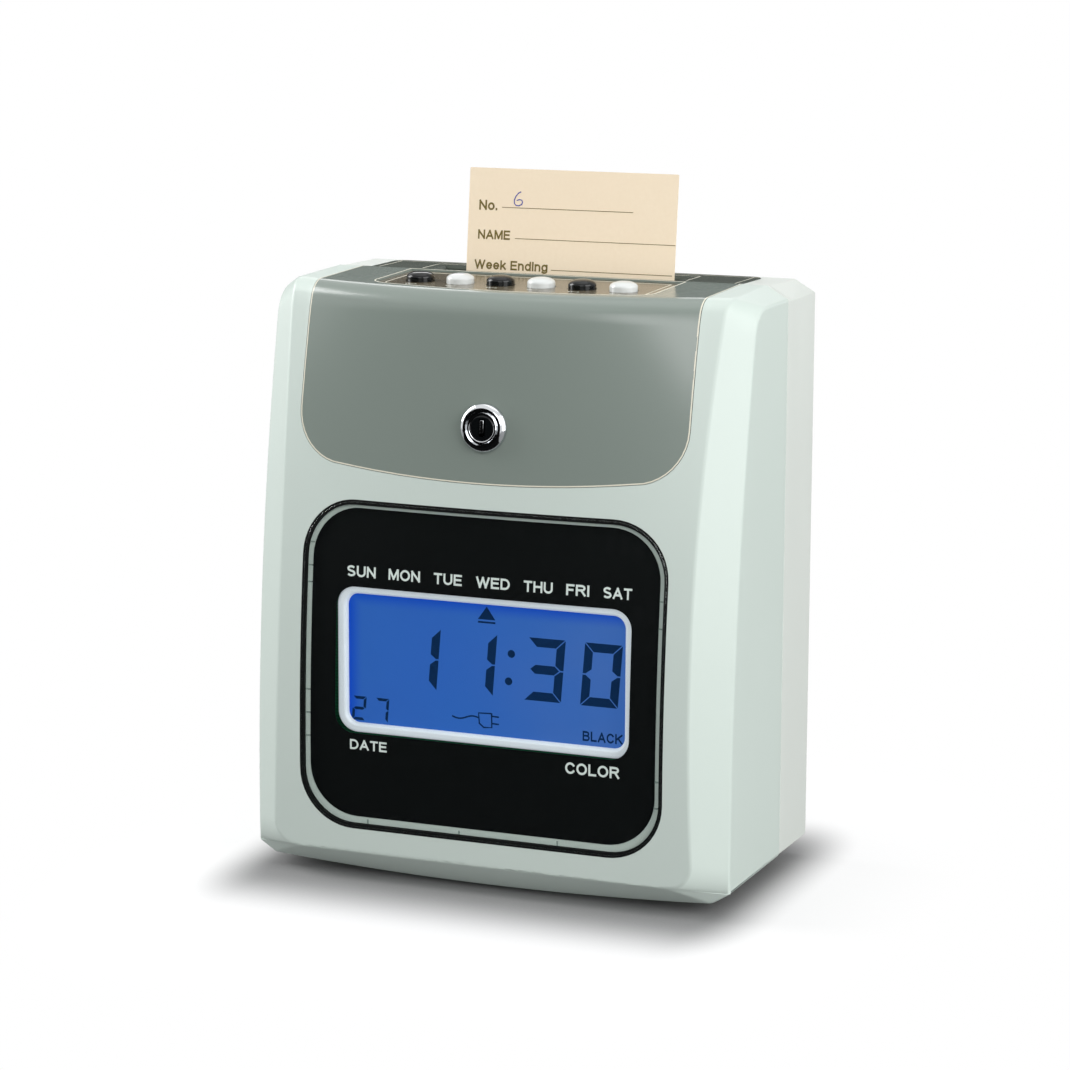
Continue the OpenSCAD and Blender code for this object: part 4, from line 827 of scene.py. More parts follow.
# Zinc-plated steel: pale, with the soft blurred shine of plated sheet
zinc = polished_metal("zinc_plated_steel", "B9BEC2", 0.3, 0.5, (1, 0.1, 1))
flange_z = -0.15 * MM
inner_lip = [(4.85, -2.0), (4.95, -2.25), (5.2, -2.35), (5.7, -2.35), (5.85, -2.2), (5.85, -1.3), (6.6, -1.3)]
profile = [(r * MM, h * MM) for r, h in inner_lip]
profile += [(lock_r - rim_r + rim_r * math.cos(math.radians(a)), flange_z - rim_r * math.sin(math.radians(a)))
            for a in range(100, -1, -10)]
profile += [(7 * MM, flange_z), (7 * MM, 17 * MM), (bore_r, 17 * MM)]
# Two flats on the barrel keep it from turning in its hole
barrel = carve(lathe(profile, Matrix.Identity(4), 96), [
    ("DIFFERENCE", block((x - 1.2 * MM, -9 * MM, 3.5 * MM), (x + 1.2 * MM, 9 * MM, 18 * MM)))
    for x in (-7.4 * MM, 7.4 * MM)])
barrel.transform(lock_frame)
new_piece("lock_ring", barrel, chrome, "cover", ["lock_barrel"], 35)
plug = carve(lathe([(0, -2.2 * MM), (4.3 * MM, -2.2 * MM), (plug_r, -1.9 * MM), (plug_r, 17.2 * MM),
                    (3 * MM, 17.2 * MM), (3 * MM, 19.8 * MM), (0, 19.8 * MM)], Matrix.Identity(4)),
             [("DIFFERENCE", block((-1.3 * MM, -3.3 * MM, -3 * MM), (1.3 * MM, 3.3 * MM, 4.8 * MM)))])
plug.transform(lock_frame)
piece = new_piece("lock_core", plug, black_gloss, "lock", ["lock_plug"], 35)
shutter = block((-0.9 * MM, -2.9 * MM, -1.9 * MM), (0.55 * MM, 2.2 * MM, 0.2 * MM))
bmesh.ops.bevel(shutter, geom=shutter.edges[:], offset=0.25 * MM, segments=2, affect="EDGES", profile=0.5)
shutter.transform(lock_frame)
new_piece("keyway_shutter", shutter, chrome, "lock")


def coat(name, material):
    """Gives a CAD node its one material."""
    nodes[name].data.materials.clear()
    nodes[name].data.materials.append(material)


coat("lock_nut", zinc)
coat("lock_cam", zinc)

# The display lens is a clear acrylic plate, 2 mm thick and bowed like the face. A black print on its back
# leaves a clear rim and the window, and carries the weekdays and headings in pale grey
lens_thick = 2.0 * MM
lens_edge_r = 0.7 * MM
acrylic_ior = 1.49
# Cast acrylic: all but unseen from in front and mirroring more at a slant, with a ripple 40 mm long
acrylic, tree = new_material("clear_cast_acrylic")
place = add(tree, "ShaderNodeTexCoord")
ripple = add(tree, "ShaderNodeTexNoise", {
    "Vector": place.outputs["Object"], "Scale": 1 / (40 * MM), "Detail": 1.0})
skin = add(tree, "ShaderNodeBump", {"Height": ripple.outputs["Fac"], "Distance": 0.02 * MM, "Strength": 0.3})
edge_glow = add(tree, "ShaderNodeFresnel", {"IOR": acrylic_ior, "Normal": skin.outputs["Normal"]})
through = add(tree, "ShaderNodeBsdfTransparent", {"Color": (0.985, 0.995, 0.99, 1)})
mirror = add(tree, "ShaderNodeBsdfGlossy", {"Roughness": 0.03, "Normal": skin.outputs["Normal"]})
face_side = add(tree, "ShaderNodeNewGeometry")
outer = add(tree, "ShaderNodeMath", {0: 1.0, 1: face_side.outputs["Backfacing"]}, operation="SUBTRACT")
share = add(tree, "ShaderNodeMath", {0: edge_glow.outputs[0], 1: outer.outputs[0]}, operation="MULTIPLY")
gloss = add(tree, "ShaderNodeMixShader", {0: share.outputs[0], 1: through.outputs[0], 2: mirror.outputs[0]})
add(tree, "ShaderNodeOutputMaterial", {"Surface": gloss.outputs[0]})
# Cut acrylic edge: it bends what is behind it, so it shows as a dark line with bright glints. The saw marks
# are drawn 2.5 mm apart, as coarse as they need to show
acrylic_edge, tree = new_material("polished_acrylic_edge")
place = add(tree, "ShaderNodeTexCoord")
saw = add(tree, "ShaderNodeTexNoise", {
    "Vector": place.outputs["Object"], "Scale": 1 / (2.5 * MM), "Detail": 2.0})
rough = add(tree, "ShaderNodeMapRange", {"Value": saw.outputs["Fac"], "To Min": 0.02, "To Max": 0.09})
bend = add(tree, "ShaderNodeBsdfGlass", {
    "Color": (0.82, 0.86, 0.85, 1), "Roughness": rough.outputs["Result"], "IOR": acrylic_ior})
rays = add(tree, "ShaderNodeLightPath")
clear = add(tree, "ShaderNodeBsdfTransparent", {"Color": (0.8, 0.83, 0.82, 1)})
edge_mix = add(tree, "ShaderNodeMixShader", {
    0: rays.outputs["Is Shadow Ray"], 1: bend.outputs[0], 2: clear.outputs[0]})
add(tree, "ShaderNodeOutputMaterial", {"Surface": edge_mix.outputs[0]})
plate = carve(prism(rounded_outline(**lens_outline), ahead, inside), [
    ("INTERSECT", case_front(0, seam_y)), ("DIFFERENCE", case_front(lens_thick, past_seam))])
corner = [e for e in plate.edges if e.calc_face_angle(0) > math.radians(50)]
bmesh.ops.bevel(plate, geom=corner, offset=lens_edge_r, segments=3, profile=0.5, affect="EDGES",
                clamp_overlap=False)
lens = new_piece("lens_plate", plate, acrylic, "cover", ["display_lens"], 35)
lens.data.materials.append(acrylic_edge)
for face in lens.data.polygons:
    if abs(face.normal.y) < 0.93:
        face.material_index = 1


def on_lens(bm, depth):
    """Lays a flat bmesh, drawn in X and Z with its thickness in Y, on the face at the given depth."""
    for v in bm.verts:
        v.co.y += face_y(v.co.x, v.co.z) + depth
    return bm


# Screen-printed black: flat and deep, shining only through the plate before it
black_print = moulded_plastic("black_back_print", "070A0B", 0.6, 0.3, 0.0001, 0.05, 0.1)
black_edge = rounded_outline(70.3 * MM, 25.3 * MM, 144.2 * MM, 19.4 * MM)
window = rounded_outline(59.9 * MM, 57.9 * MM, 114.3 * MM, 7.7 * MM)
sheet = carve(prism(black_edge, ahead, inside), [
    ("INTERSECT", case_front(2.02 * MM, seam_y)), ("DIFFERENCE", case_front(2.12 * MM, past_seam)),
    ("DIFFERENCE", prism(window, ahead, inside + 10 * MM))])
new_piece("lens_black_print", sheet, black_print, "cover")
# Pale print: dull, so that the letters stay even
pale_print = moulded_plastic("pale_grey_print", "D6DFDA", 0.6, 0.2, 0.001, 0.01, 0.1)
# Each word with its two ends, its baseline and its cap top in mm. The weekdays stand in one row
weekdays = (("SUN", -55.7, -43.6), ("MON", -38.2, -25.1), ("TUE", -19.4, -7.9), ("WED", -2.1, 11.5),
            ("THU", 17.1, 28.6), ("FRI", 33.9, 43.0), ("SAT", 48.4, 59.6))
words = [(word, x0, x1, 118.1, 122.3) for word, x0, x1 in weekdays]
words += [("DATE", -53.6, -38.2, 51.6, 55.5), ("COLOR", 34.8, 56.3, 51.0, 55.4)]
stand_up = Matrix.Rotation(math.pi / 2, 4, "X")
letters = []
for word, x0, x1, z0, z1 in words:
    flat = lettering(word, (x0 * MM, z0 * MM, x1 * MM, z1 * MM))
    flat.transform(stand_up)
    letters.append(flat)
new_piece("lens_words", on_lens(joined(letters), 2.015 * MM), pale_print, "cover")

# A thin black ring in the lens's seat, a little wider along the top, paints the shade of the groove between
# the plate and the cover and the dark of the plate's edge
groove_shade_edge = rounded_outline(72.4 * MM, 22.7 * MM, 145.6 * MM, 20.2 * MM)
# Dull black: painted shade that takes the light up
groove_shade_black = moulded_plastic("black_painted_groove_shade", "0B0D0D", 0.8, 0.3, 0.01, 0.1, 0.1)
groove_shade = carve(prism(rounded_outline(**lens_outline, grow=0.48 * MM), ahead, inside), [
    ("INTERSECT", case_front(0.25 * MM, seam_y)), ("DIFFERENCE", case_front(2.15 * MM, past_seam)),
    ("DIFFERENCE", prism(groove_shade_edge, ahead, inside + 10 * MM))])
new_piece("lens_groove_shade", groove_shade, groove_shade_black, "cover")

# Small moulded catches in the clear rim hold the lens in its seat: short thin ribs as clear as the plate's
# edge, placed round the rim by Geometry Nodes
catch_w = 0.45 * MM
catch_l = 2.8 * MM
catch_deep = 1.1 * MM
catch_spots = [(-71.2, 130), (-71.4, 121.2), (-71.4, 114.8), (-71.4, 73.5), (-71.2, 64.5), (-71.4, 55.5),
               (72, 118.5), (72, 108.5), (72, 51.5), (72, 41.5), (-46, 23.3), (-8, 23.0), (32, 23.3)]


def group_input(tree, name, kind, value):
    """Adds a named input with its starting value and returns its identifier."""
    socket = tree.interface.new_socket(name=name, in_out="INPUT", socket_type=kind)
    if value is not None:
        socket.default_value = value
    return socket.identifier


def spread(name, spots, aims, tree, values):
    """Runs a Geometry Nodes tree on points with an 'aim' direction each, and returns a plain mesh."""
    mesh = bpy.data.meshes.new(name)
    mesh.from_pydata([tuple(s) for s in spots], [], [])
    aim = mesh.attributes.new("aim", "FLOAT_VECTOR", "POINT")
    aim.data.foreach_set("vector", [c for a in aims for c in a])
    made = bpy.data.objects.new(name, mesh)
    bpy.context.scene.collection.objects.link(made)
    change = made.modifiers.new("nodes", "NODES")
    change.node_group = tree
    for identifier, value in values.items():
        change[identifier] = value
    depsgraph = bpy.context.evaluated_depsgraph_get()
    result = bpy.data.meshes.new_from_object(made.evaluated_get(depsgraph))
    made.modifiers.clear()
    made.data = result
    bpy.data.meshes.remove(mesh)
    return made


def instancer(tree, source, shape, material):
    """Ends a tree: instances of the shape on the points, turned to their aim, made real and coloured."""
    aim = add(tree, "GeometryNodeInputNamedAttribute", {0: "aim"}, data_type="FLOAT_VECTOR")
    turn = add(tree, "FunctionNodeAlignRotationToVector", {"Vector": aim.outputs[0]}, axis="Z")
    placed = add(tree, "GeometryNodeInstanceOnPoints", {
        "Points": source, "Instance": shape, "Rotation": turn.outputs[0]})
    real = add(tree, "GeometryNodeRealizeInstances", {0: placed.outputs[0]})
    painted = add(tree, "GeometryNodeSetMaterial", {"Geometry": real.outputs[0], "Material": material})
    tree.interface.new_socket(name="Geometry", in_out="OUTPUT", socket_type="NodeSocketGeometry")
    add(tree, "NodeGroupOutput", {0: painted.outputs[0]})


tree = bpy.data.node_groups.new("lens_catches", "GeometryNodeTree")
group_input(tree, "Spots", "NodeSocketGeometry", None)
wide_id = group_input(tree, "Width", "NodeSocketFloat", catch_w)
long_id = group_input(tree, "Length", "NodeSocketFloat", catch_l)
given = add(tree, "NodeGroupInput").outputs
size = add(tree, "ShaderNodeCombineXYZ", {"X": given["Width"], "Y": given["Width"], "Z": given["Length"]})
tick = add(tree, "GeometryNodeMeshCube", {"Size": size.outputs[0]})
instancer(tree, given["Spots"], tick.outputs[0], acrylic_edge)
spots = [(x * MM, face_y(x * MM, z * MM) + catch_deep, z * MM) for x, z in catch_spots]
aims = [(1, 0, 0) if abs(x) > 60 else (0, 0, 1) for x, z in catch_spots]
catches = spread("lens_catches", spots, aims, tree, {wide_id: catch_w, long_id: catch_l})
finish_piece(catches, None, "cover")

# Behind the window sits the display: a white moulded frame with a soft inner bevel, a blue backlit liquid
# crystal glass with navy segments, and its module and board behind.
# Satin white ABS: a clean cool white with a faint painted glow, which stands in for the backlight shining
# through it and lifts the frame out of the shade behind the black print
bezel_white = moulded_plastic("white_satin_abs_painted_glow", "C6CBCE", 0.35, 0.3, 0.002, 0.01)
# Painted glow: emission on a frame that is no lamp
moulded = next(n for n in bezel_white.node_tree.nodes if n.type == "BSDF_PRINCIPLED")
moulded.inputs["Emission Color"].default_value = tint("DDE6F0")
moulded.inputs["Emission Strength"].default_value = 0.36
frame_y = -46.4 * MM


def bezel_ring(inset, depth):
    """Ring of the frame's section: the corner radius goes from 8 mm outside to 4.6 mm at the opening."""
    r = 8 * MM - inset * 0.9
    points = rounded_outline(60.3 * MM - inset, 57.4 * MM + inset * 0.92, 114.7 * MM - inset * 0.92, r)
    return [(x, frame_y + depth, z) for x, z in points]


# The frame's section as insets and depths in mm, from its outer edge over the front to the opening
section = [(0, 6.0), (0, 0.9), (0.08, 0.55), (0.28, 0.25), (0.6, 0.06), (1.0, 0), (2.5, 0), (2.8, 0.08),
           (3.1, 0.3), (3.6, 1.0), (3.8, 1.6), (3.8, 6.0)]


def join_rings(bm, rings):
    """Adds the faces between each ring of vertices and the next."""
    for low, high in zip(rings, rings[1:]):
        for k in range(len(low)):
            bm.faces.new((low[k], low[(k + 1) % len(low)], high[(k + 1) % len(low)], high[k]))


bm = bmesh.new()
rings = [[bm.verts.new(p) for p in bezel_ring(i * MM, d * MM)] for i, d in section]
join_rings(bm, rings + rings[:1])
bmesh.ops.recalc_face_normals(bm, faces=bm.faces)
new_piece("display_frame", bm, bezel_white, "cover", ["display_bezel"], 50)

# Backlit glass: mid blue, greyer to the right, and deeper and purer along the top and left edges, where the
# frame's shade is painted on
lcd_blue, tree = new_material("backlit_lcd_glass")
place = add(tree, "ShaderNodeTexCoord")
apart = add(tree, "ShaderNodeSeparateXYZ", {0: place.outputs["Object"]})
# Painted shade of the frame: a band along the top and left edges of the glass
top = add(tree, "ShaderNodeMapRange", {
    "Value": apart.outputs["Z"], "From Min": 105.5 * MM, "From Max": 112.5 * MM},
    interpolation_type="SMOOTHSTEP")
left = add(tree, "ShaderNodeMapRange", {
    "Value": apart.outputs["X"], "From Min": -50.5 * MM, "From Max": -56.8 * MM},
    interpolation_type="SMOOTHSTEP")
rim = add(tree, "ShaderNodeMath", {0: top.outputs[0], 1: left.outputs[0]}, operation="MAXIMUM")
right = add(tree, "ShaderNodeMapRange", {
    "Value": apart.outputs["X"], "From Min": -20 * MM, "From Max": 50 * MM},
    interpolation_type="SMOOTHSTEP")
haze = add(tree, "ShaderNodeTexNoise", {
    "Vector": place.outputs["Object"], "Scale": 1 / (33.3 * MM), "Detail": 2.0})
field = add(tree, "ShaderNodeMix", {0: right.outputs[0], 6: tint("2F5FB4"), 7: tint("476BAE")},
            data_type="RGBA")
field = add(tree, "ShaderNodeMix", {0: haze.outputs["Fac"], 6: field.outputs[2], 7: tint("2E63B5")},
            data_type="RGBA")
lit = add(tree, "ShaderNodeMix", {0: rim.outputs[0], 6: field.outputs[2], 7: tint("1148BB")},
          data_type="RGBA")
half_lit = add(tree, "ShaderNodeVectorMath", {0: lit.outputs[2], "Scale": 0.45}, operation="SCALE")
shader = add(tree, "ShaderNodeBsdfPrincipled", {
    "Base Color": half_lit.outputs[0], "Roughness": 0.3, "IOR": 1.5, "Specular IOR Level": 0.15,
    "Emission Color": lit.outputs[2], "Emission Strength": 0.66})
add(tree, "ShaderNodeOutputMaterial", {"Surface": shader.outputs[0]})
coat("display_glass", lcd_blue)

# Liquid crystal marks: dark navy, flat and dull
lcd_navy = moulded_plastic("lcd_navy_segment", "042C56", 0.6, 0.3, 0.001, 0.05, 0.1)
glass_y = -44.2 * MM
mark_y = glass_y - 0.03 * MM


def shapes_solid(outlines):
    """Thin marks on the glass from outlines of (x, z) points in mm."""
    return joined([prism([(x * MM, z * MM) for x, z in outline], mark_y, glass_y - 0.005 * MM)
                   for outline in outlines])


def digit(x, z, w, h, t, segments, gap, slant):
    """Outlines of a seven-segment figure's lit segments, A on top, then clockwise, G in the middle."""
    m = h / 2
    low_end = 0.35 * t
    shapes = {
        "A": [(gap, h), (w - gap, h), (w - t - gap, h - t), (t + gap, h - t)],
        "B": [(w, h - gap), (w - t, h - t - gap), (w - t, m + t / 2 + gap), (w - low_end, m + gap),
              (w, m + gap)],
        "C": [(w, gap), (w - t, t + gap), (w - t, m - t / 2 - gap), (w - low_end, m - gap),
              (w, m - gap)],
        "D": [(gap, 0), (w - gap, 0), (w - t - gap, t), (t + gap, t)],
        "E": [(0, gap), (t, t + gap), (t, m - t / 2 - gap), (low_end, m - gap), (0, m - gap)],
        "F": [(0, h - gap), (t, h - t - gap), (t, m + t / 2 + gap), (low_end, m + gap), (0, m + gap)],
        "G": [(t / 2, m), (t + gap, m + t / 2), (w - t - gap, m + t / 2), (w - t / 2, m),
              (w - t - gap, m - t / 2), (t + gap, m - t / 2)]}
    return [[(x + px + slant * pz, z + pz) for px, pz in shapes[s]] for s in segments]


# The time in large figures and the date in small ones, with the marks between and beside them, all in mm
marks = []
for x, lit_segments in ((-35.1, "BC"), (-12.0, "BC"), (15.6, "ABCDG"), (38.3, "ABCDEF")):
    marks += digit(x, 76.1, 15.0, 24, 3.4, lit_segments, 0.28, 0.08)
for x, lit_segments in ((-55.5, "ABDEG"), (-46.0, "ABC")):
    marks += digit(x, 61.7, 5.6, 9.4, 1.1, lit_segments, 0.18, 0.08)
for x, z in ((10.6, 93.1), (9.5, 82.5)):
    turns = [math.tau * k / 24 for k in range(24)]
    marks.append([(x + 1.5 * math.cos(a), z + 1.5 * math.sin(a)) for a in turns])
marks += [[(-3, 105.3), (4.1, 105.3), (0.6, 110.3)], [(-3, 103.9), (4.1, 103.9), (4.1, 104.6), (-3, 104.6)]]
wave = [(-13.6 + 10.9 * k / 20, 67.1 - 0.7 * math.sin(math.tau * k / 20 * 0.95)) for k in range(21)]
marks += [stroke(wave, 0.6), stroke([(-2.4, 65), (-2.7, 69.2), (2.4, 69.4)], 0.6),
          stroke([(2.6, 69.6), (2.7, 64.0), (-0.6, 63.8), (-2.5, 65.3)], 0.6),
          stroke([(2.7, 68.4), (5.6, 68.3)], 0.6), stroke([(2.7, 65.6), (5.6, 65.5)], 0.6)]
segments = shapes_solid(marks)
black_word = lettering("BLACK", (39.4 * MM, 62.6 * MM, 55.3 * MM, 66.4 * MM))
black_word.transform(Matrix.Translation((0, mark_y + 0.02 * MM, 0)) @ stand_up)
new_piece("display_segments", joined([segments, black_word]), lcd_navy, "cover")

# The rear case is a deep moulding in the same ABS with a duller skin. Its long edges are rounded off here on
# a copy of the CAD solid, whose wall holes, rim, ears and floor stay as they are
back_y = 52 * MM
deck_z = 228.0 * MM
side_floor = 9 * MM
case_round = 1.1 * MM
case_back_r = 4 * MM
# Satin ABS: the cover's colour with a duller, finely grained skin
case_abs = moulded_plastic("satin_case_abs", "CFD4CE", 0.42, 0.4, 0.006, 0.015)


def case_section(o, top):
    """Points of the case's outer section at an inset, with each of its corners rounded. It stands 0.01 mm
    off the flat sides, so that only the corners are cut."""
    o -= 0.01 * MM
    side_x = half_w - o
    crown_x = half_w - shoulder_w - crown_step * o
    side_top = top - shoulder_h - shoulder_step * o
    corners = [(-side_x, side_floor + o), (side_x, side_floor + o), (side_x, side_top),
               (crown_x, top - o), (-crown_x, top - o), (-side_x, side_top)]
    points = []
    for n, corner in enumerate(corners):
        here = Vector(corner)
        before = (Vector(corners[n - 1]) - here).normalized()
        after = (Vector(corners[(n + 1) % 6]) - here).normalized()
        spread_angle = before.angle(after)
        reach = case_round / math.tan(spread_angle / 2)
        middle = here + (before + after).normalized() * case_round / math.sin(spread_angle / 2)
        start = here + before * reach - middle
        turn = math.pi - spread_angle
        for k in range(7):
            a = turn * k / 6
            points.append((middle.x + start.x * math.cos(a) - start.y * math.sin(a),
                           middle.y + start.x * math.sin(a) + start.y * math.cos(a)))
    return points


# Rings from the seam to the back, each with its depth, its inset and the height of its top. All of the case
# that lies outside them is shaved off
stations = [(seam_y + 0.4 * MM, 0.35 * MM, crest_z), (seam_y + 0.55 * MM, 0.1 * MM, crest_z),
            (seam_y + 0.8 * MM, 0, crest_z), (seam_y + 5 * MM, 0, deck_z), (back_y - case_back_r, 0, deck_z)]
stations += [(back_y - case_back_r + (case_back_r + 0.01 * MM) * math.sin(math.radians(a)),
              case_back_r * (1 - math.cos(math.radians(a))), deck_z) for a in range(10, 91, 10)]
bm = bmesh.new()
rings = [[bm.verts.new((x, y, z)) for x, z in case_section(o, top)] for y, o, top in stations]
join_rings(bm, rings)
bm.faces.new(rings[0])
bm.faces.new(rings[-1])
bmesh.ops.recalc_face_normals(bm, faces=bm.faces)
shavings = carve(block((-0.12, seam_y + 0.399 * MM, -0.01), (0.12, 0.06, 0.25)), [("DIFFERENCE", bm)])
body = bmesh.new()
body.from_mesh(nodes["rear_case"].data)
bmesh.ops.remove_doubles(body, verts=body.verts, dist=1e-6)
case = new_piece("rear_case_moulding", carve(body, [("DIFFERENCE", shavings)]), case_abs, "base",
                 ["rear_case"], 28)

# The deck trim is a glossy dark grey plate let into the top round the card slot, with fine light lines round
# the slot and along the tray that are painted highlights of their edges, and specks of paper dust
speck_apart = 2.38 * MM
patch_size = 7.7 * MM
# Dark grey gloss plastic: dark and smooth, broken by pale dull specks that are drawn larger than real dust
deck_gloss, tree = new_material("dusty_dark_grey_gloss")
place = add(tree, "ShaderNodeTexCoord")
dust = add(tree, "ShaderNodeTexVoronoi", {
    "Vector": place.outputs["Object"], "Scale": 1 / speck_apart, "Randomness": 1.0})
speck = add(tree, "ShaderNodeMapRange", {
    "Value": dust.outputs["Distance"], "From Min": 0.06, "From Max": 0.13, "To Min": 1.0, "To Max": 0.0})
patch = add(tree, "ShaderNodeTexNoise", {
    "Vector": place.outputs["Object"], "Scale": 1 / patch_size, "Detail": 2.0})
few = add(tree, "ShaderNodeMapRange", {"Value": patch.outputs["Fac"], "From Min": 0.6, "From Max": 0.68})
shown = add(tree, "ShaderNodeMath", {0: speck.outputs[0], 1: few.outputs[0]}, operation="MULTIPLY")
colour = add(tree, "ShaderNodeMix", {0: shown.outputs[0], 6: tint("535952"), 7: tint("C9CCC2")},
             data_type="RGBA")
wear = add(tree, "ShaderNodeMapRange", {"Value": shown.outputs[0], "To Min": 0.24, "To Max": 0.7})
shader = add(tree, "ShaderNodeBsdfPrincipled", {
    "Base Color": colour.outputs[2], "Roughness": wear.outputs[0], "IOR": 1.5, "Specular IOR Level": 0.06})
add(tree, "ShaderNodeOutputMaterial", {"Surface": shader.outputs[0]})
coat("rear_deck", deck_gloss)
deck_top = deck_z + 0.02 * MM
# Painted highlights: pale lines along the slot's rim and the deck's edges
lines = []
for low, high in (((-56, 23.5), (-55.5, 40)), ((-56, 39.5), (54, 40)), ((-76, 44), (76, 44.4)),
                  ((53.5, 23.5), (54, 40)), ((-74, 22), (-73.6, 44)), ((73.6, 22), (74, 44))):
    lines.append(block((low[0] * MM, low[1] * MM, deck_z - 0.1 * MM), (high[0] * MM, high[1] * MM, deck_top)))
new_piece("deck_edge_highlights", joined(lines), ink_and_edge_highlight, "base")

# The clock stands on four moulded rubber feet, and turned steel pins carry the drop-front cover. Rods of the
# same steel run through the mechanism, and its frames and brackets are zinc-plated sheet.
# Matt rubber: a soft dark grey without a highlight
rubber = moulded_plastic("matt_black_rubber", "1B1C1D", 0.75, 0.4, 0.02, 0.06)
# Ground steel: bright, its highlight drawn out by fine lines along the rod
drawn_steel = polished_metal("ground_steel_rod", "C4C8CB", 0.16, 0.25, (0.05, 1, 1))
for name, material in (("rubber_feet", rubber), ("hinge_pins", drawn_steel), ("guide_shaft", drawn_steel),
                       ("feed_shaft", drawn_steel), ("base_plate", zinc), ("card_stop", zinc),
                       ("platen_bar", zinc), ("strike_bracket", zinc), ("side_frame_left", zinc),
                       ("side_frame_right", zinc)):
    coat(name, material)

# Boards are green glass-epoxy laminate with printed tracks and tinned pads at the usual 2.54 mm pitch. The
# display board carries black chips on its back
pad_pitch = 2.54 * MM
track_pitch = 1.27 * MM
track_length = 11.4 * MM
track_w = 0.3 * MM
field_size = 22.2 * MM
# Solder mask: a glossy green that is lighter over the tracks, with bright round pads
laminate, tree = new_material("green_solder_mask_laminate")
place = add(tree, "ShaderNodeTexCoord")
flat = add(tree, "ShaderNodeMapping", {"Vector": place.outputs["Object"], "Rotation": (math.pi / 2, 0, 0)})
tracks = add(tree, "ShaderNodeTexBrick", {
    "Vector": flat.outputs[0], "Color1": tint("1D6A45"), "Color2": tint("226F49"), "Mortar": tint("2F8A5E"),
    "Scale": 1.0, "Mortar Size": track_w, "Brick Width": track_length, "Row Height": track_pitch},
    offset=0.37)
pads = add(tree, "ShaderNodeTexVoronoi", {
    "Vector": place.outputs["Object"], "Scale": 1 / pad_pitch, "Randomness": 0.25})
tin = add(tree, "ShaderNodeMapRange", {
    "Value": pads.outputs["Distance"], "From Min": 0.16, "From Max": 0.2, "To Min": 1.0, "To Max": 0.0})
region = add(tree, "ShaderNodeTexNoise", {
    "Vector": place.outputs["Object"], "Scale": 1 / field_size, "Detail": 1.0})
used = add(tree, "ShaderNodeMapRange", {"Value": region.outputs["Fac"], "From Min": 0.52, "From Max": 0.55})
dots = add(tree, "ShaderNodeMath", {0: tin.outputs[0], 1: used.outputs[0]}, operation="MULTIPLY")
colour = add(tree, "ShaderNodeMix", {0: dots.outputs[0], 6: tracks.outputs["Color"], 7: tint("C9CBC6")},
             data_type="RGBA")
bump = add(tree, "ShaderNodeBump", {"Height": tracks.outputs["Fac"], "Distance": 0.03 * MM, "Strength": 0.5})
shader = add(tree, "ShaderNodeBsdfPrincipled", {
    "Base Color": colour.outputs[2], "Metallic": dots.outputs[0], "Roughness": 0.3, "IOR": 1.55,
    "Normal": bump.outputs["Normal"]})
add(tree, "ShaderNodeOutputMaterial", {"Surface": shader.outputs[0]})
# Moulded epoxy: a dull black
chip_black = moulded_plastic("matt_black_epoxy", "1E2022", 0.55, 0.25, 0.01, 0.05)
for name in ("switch_board", "main_board", "display_board"):
    coat(name, laminate)
board_back_y = -34.8 * MM
panel = nodes["display_board"].data
panel.materials.append(chip_black)
for face in panel.polygons:
    if face.center.y > board_back_y + 0.01 * MM:
        face.material_index = 1

# Inner parts, each in its own plain finish: moulded black guides and carriage, tinned motor cans, acetal
# and brass gears, the inked ribbon in its cartridge, and the knob that winds it.
# Glass-filled nylon: dark and dull, with a faint grain
guide_black = moulded_plastic("glass_filled_black_nylon", "2A2D2F", 0.5, 0.35, 0.015, 0.06)
# Tin plate: pale, with a soft shine
tinned = polished_metal("tin_plated_can", "B4B6B6", 0.24, 0.8)
# Acetal: creamy, with a waxy sheen
acetal = moulded_plastic("cream_acetal", "E4E1D6", 0.38, 0.3, 0.004, 0.02)
# Cut brass: warm and bright
brass = polished_metal("hobbed_brass", "C9A357", 0.22)
# Inked nylon ribbon: near black and soaked, with no shine
inked = moulded_plastic("inked_nylon_weave", "131419", 0.8, 0.25, 0.03, 0.2)
# Moulded knob: a clear blue that the eye finds at once
knob_blue = moulded_plastic("blue_moulded_knob", "2B67A8", 0.35, 0.3, 0.004, 0.03)
# Shrink sleeve: green, tight and glossy
shrink_wrap = moulded_plastic("green_shrink_sleeve", "3A7D4E", 0.25, 0.8, 0.004, 0.05)
# Hard rubber: dark, with a faint sheen
platen_rubber = moulded_plastic("hard_black_platen_rubber", "202122", 0.6, 0.3, 0.01, 0.05)
for name, material in (
        ("key_switches", guide_black), ("card_guide_front", guide_black), ("card_guide_rear", guide_black),
        ("print_carriage", guide_black), ("ribbon_cartridge", guide_black), ("board_parts", chip_black),
        ("buzzer", chip_black), ("dc_inlet", chip_black), ("platen", platen_rubber), ("print_head", tinned),
        ("display_module", tinned), ("carriage_motor", tinned), ("feed_motor", tinned), ("lead_gear", acetal),
        ("feed_gear", acetal), ("pinch_rollers", acetal), ("carriage_pinion", brass), ("feed_pinion", brass),
        ("ink_ribbon", inked), ("ribbon_knob", knob_blue), ("backup_battery", shrink_wrap)):
    coat(name, material)

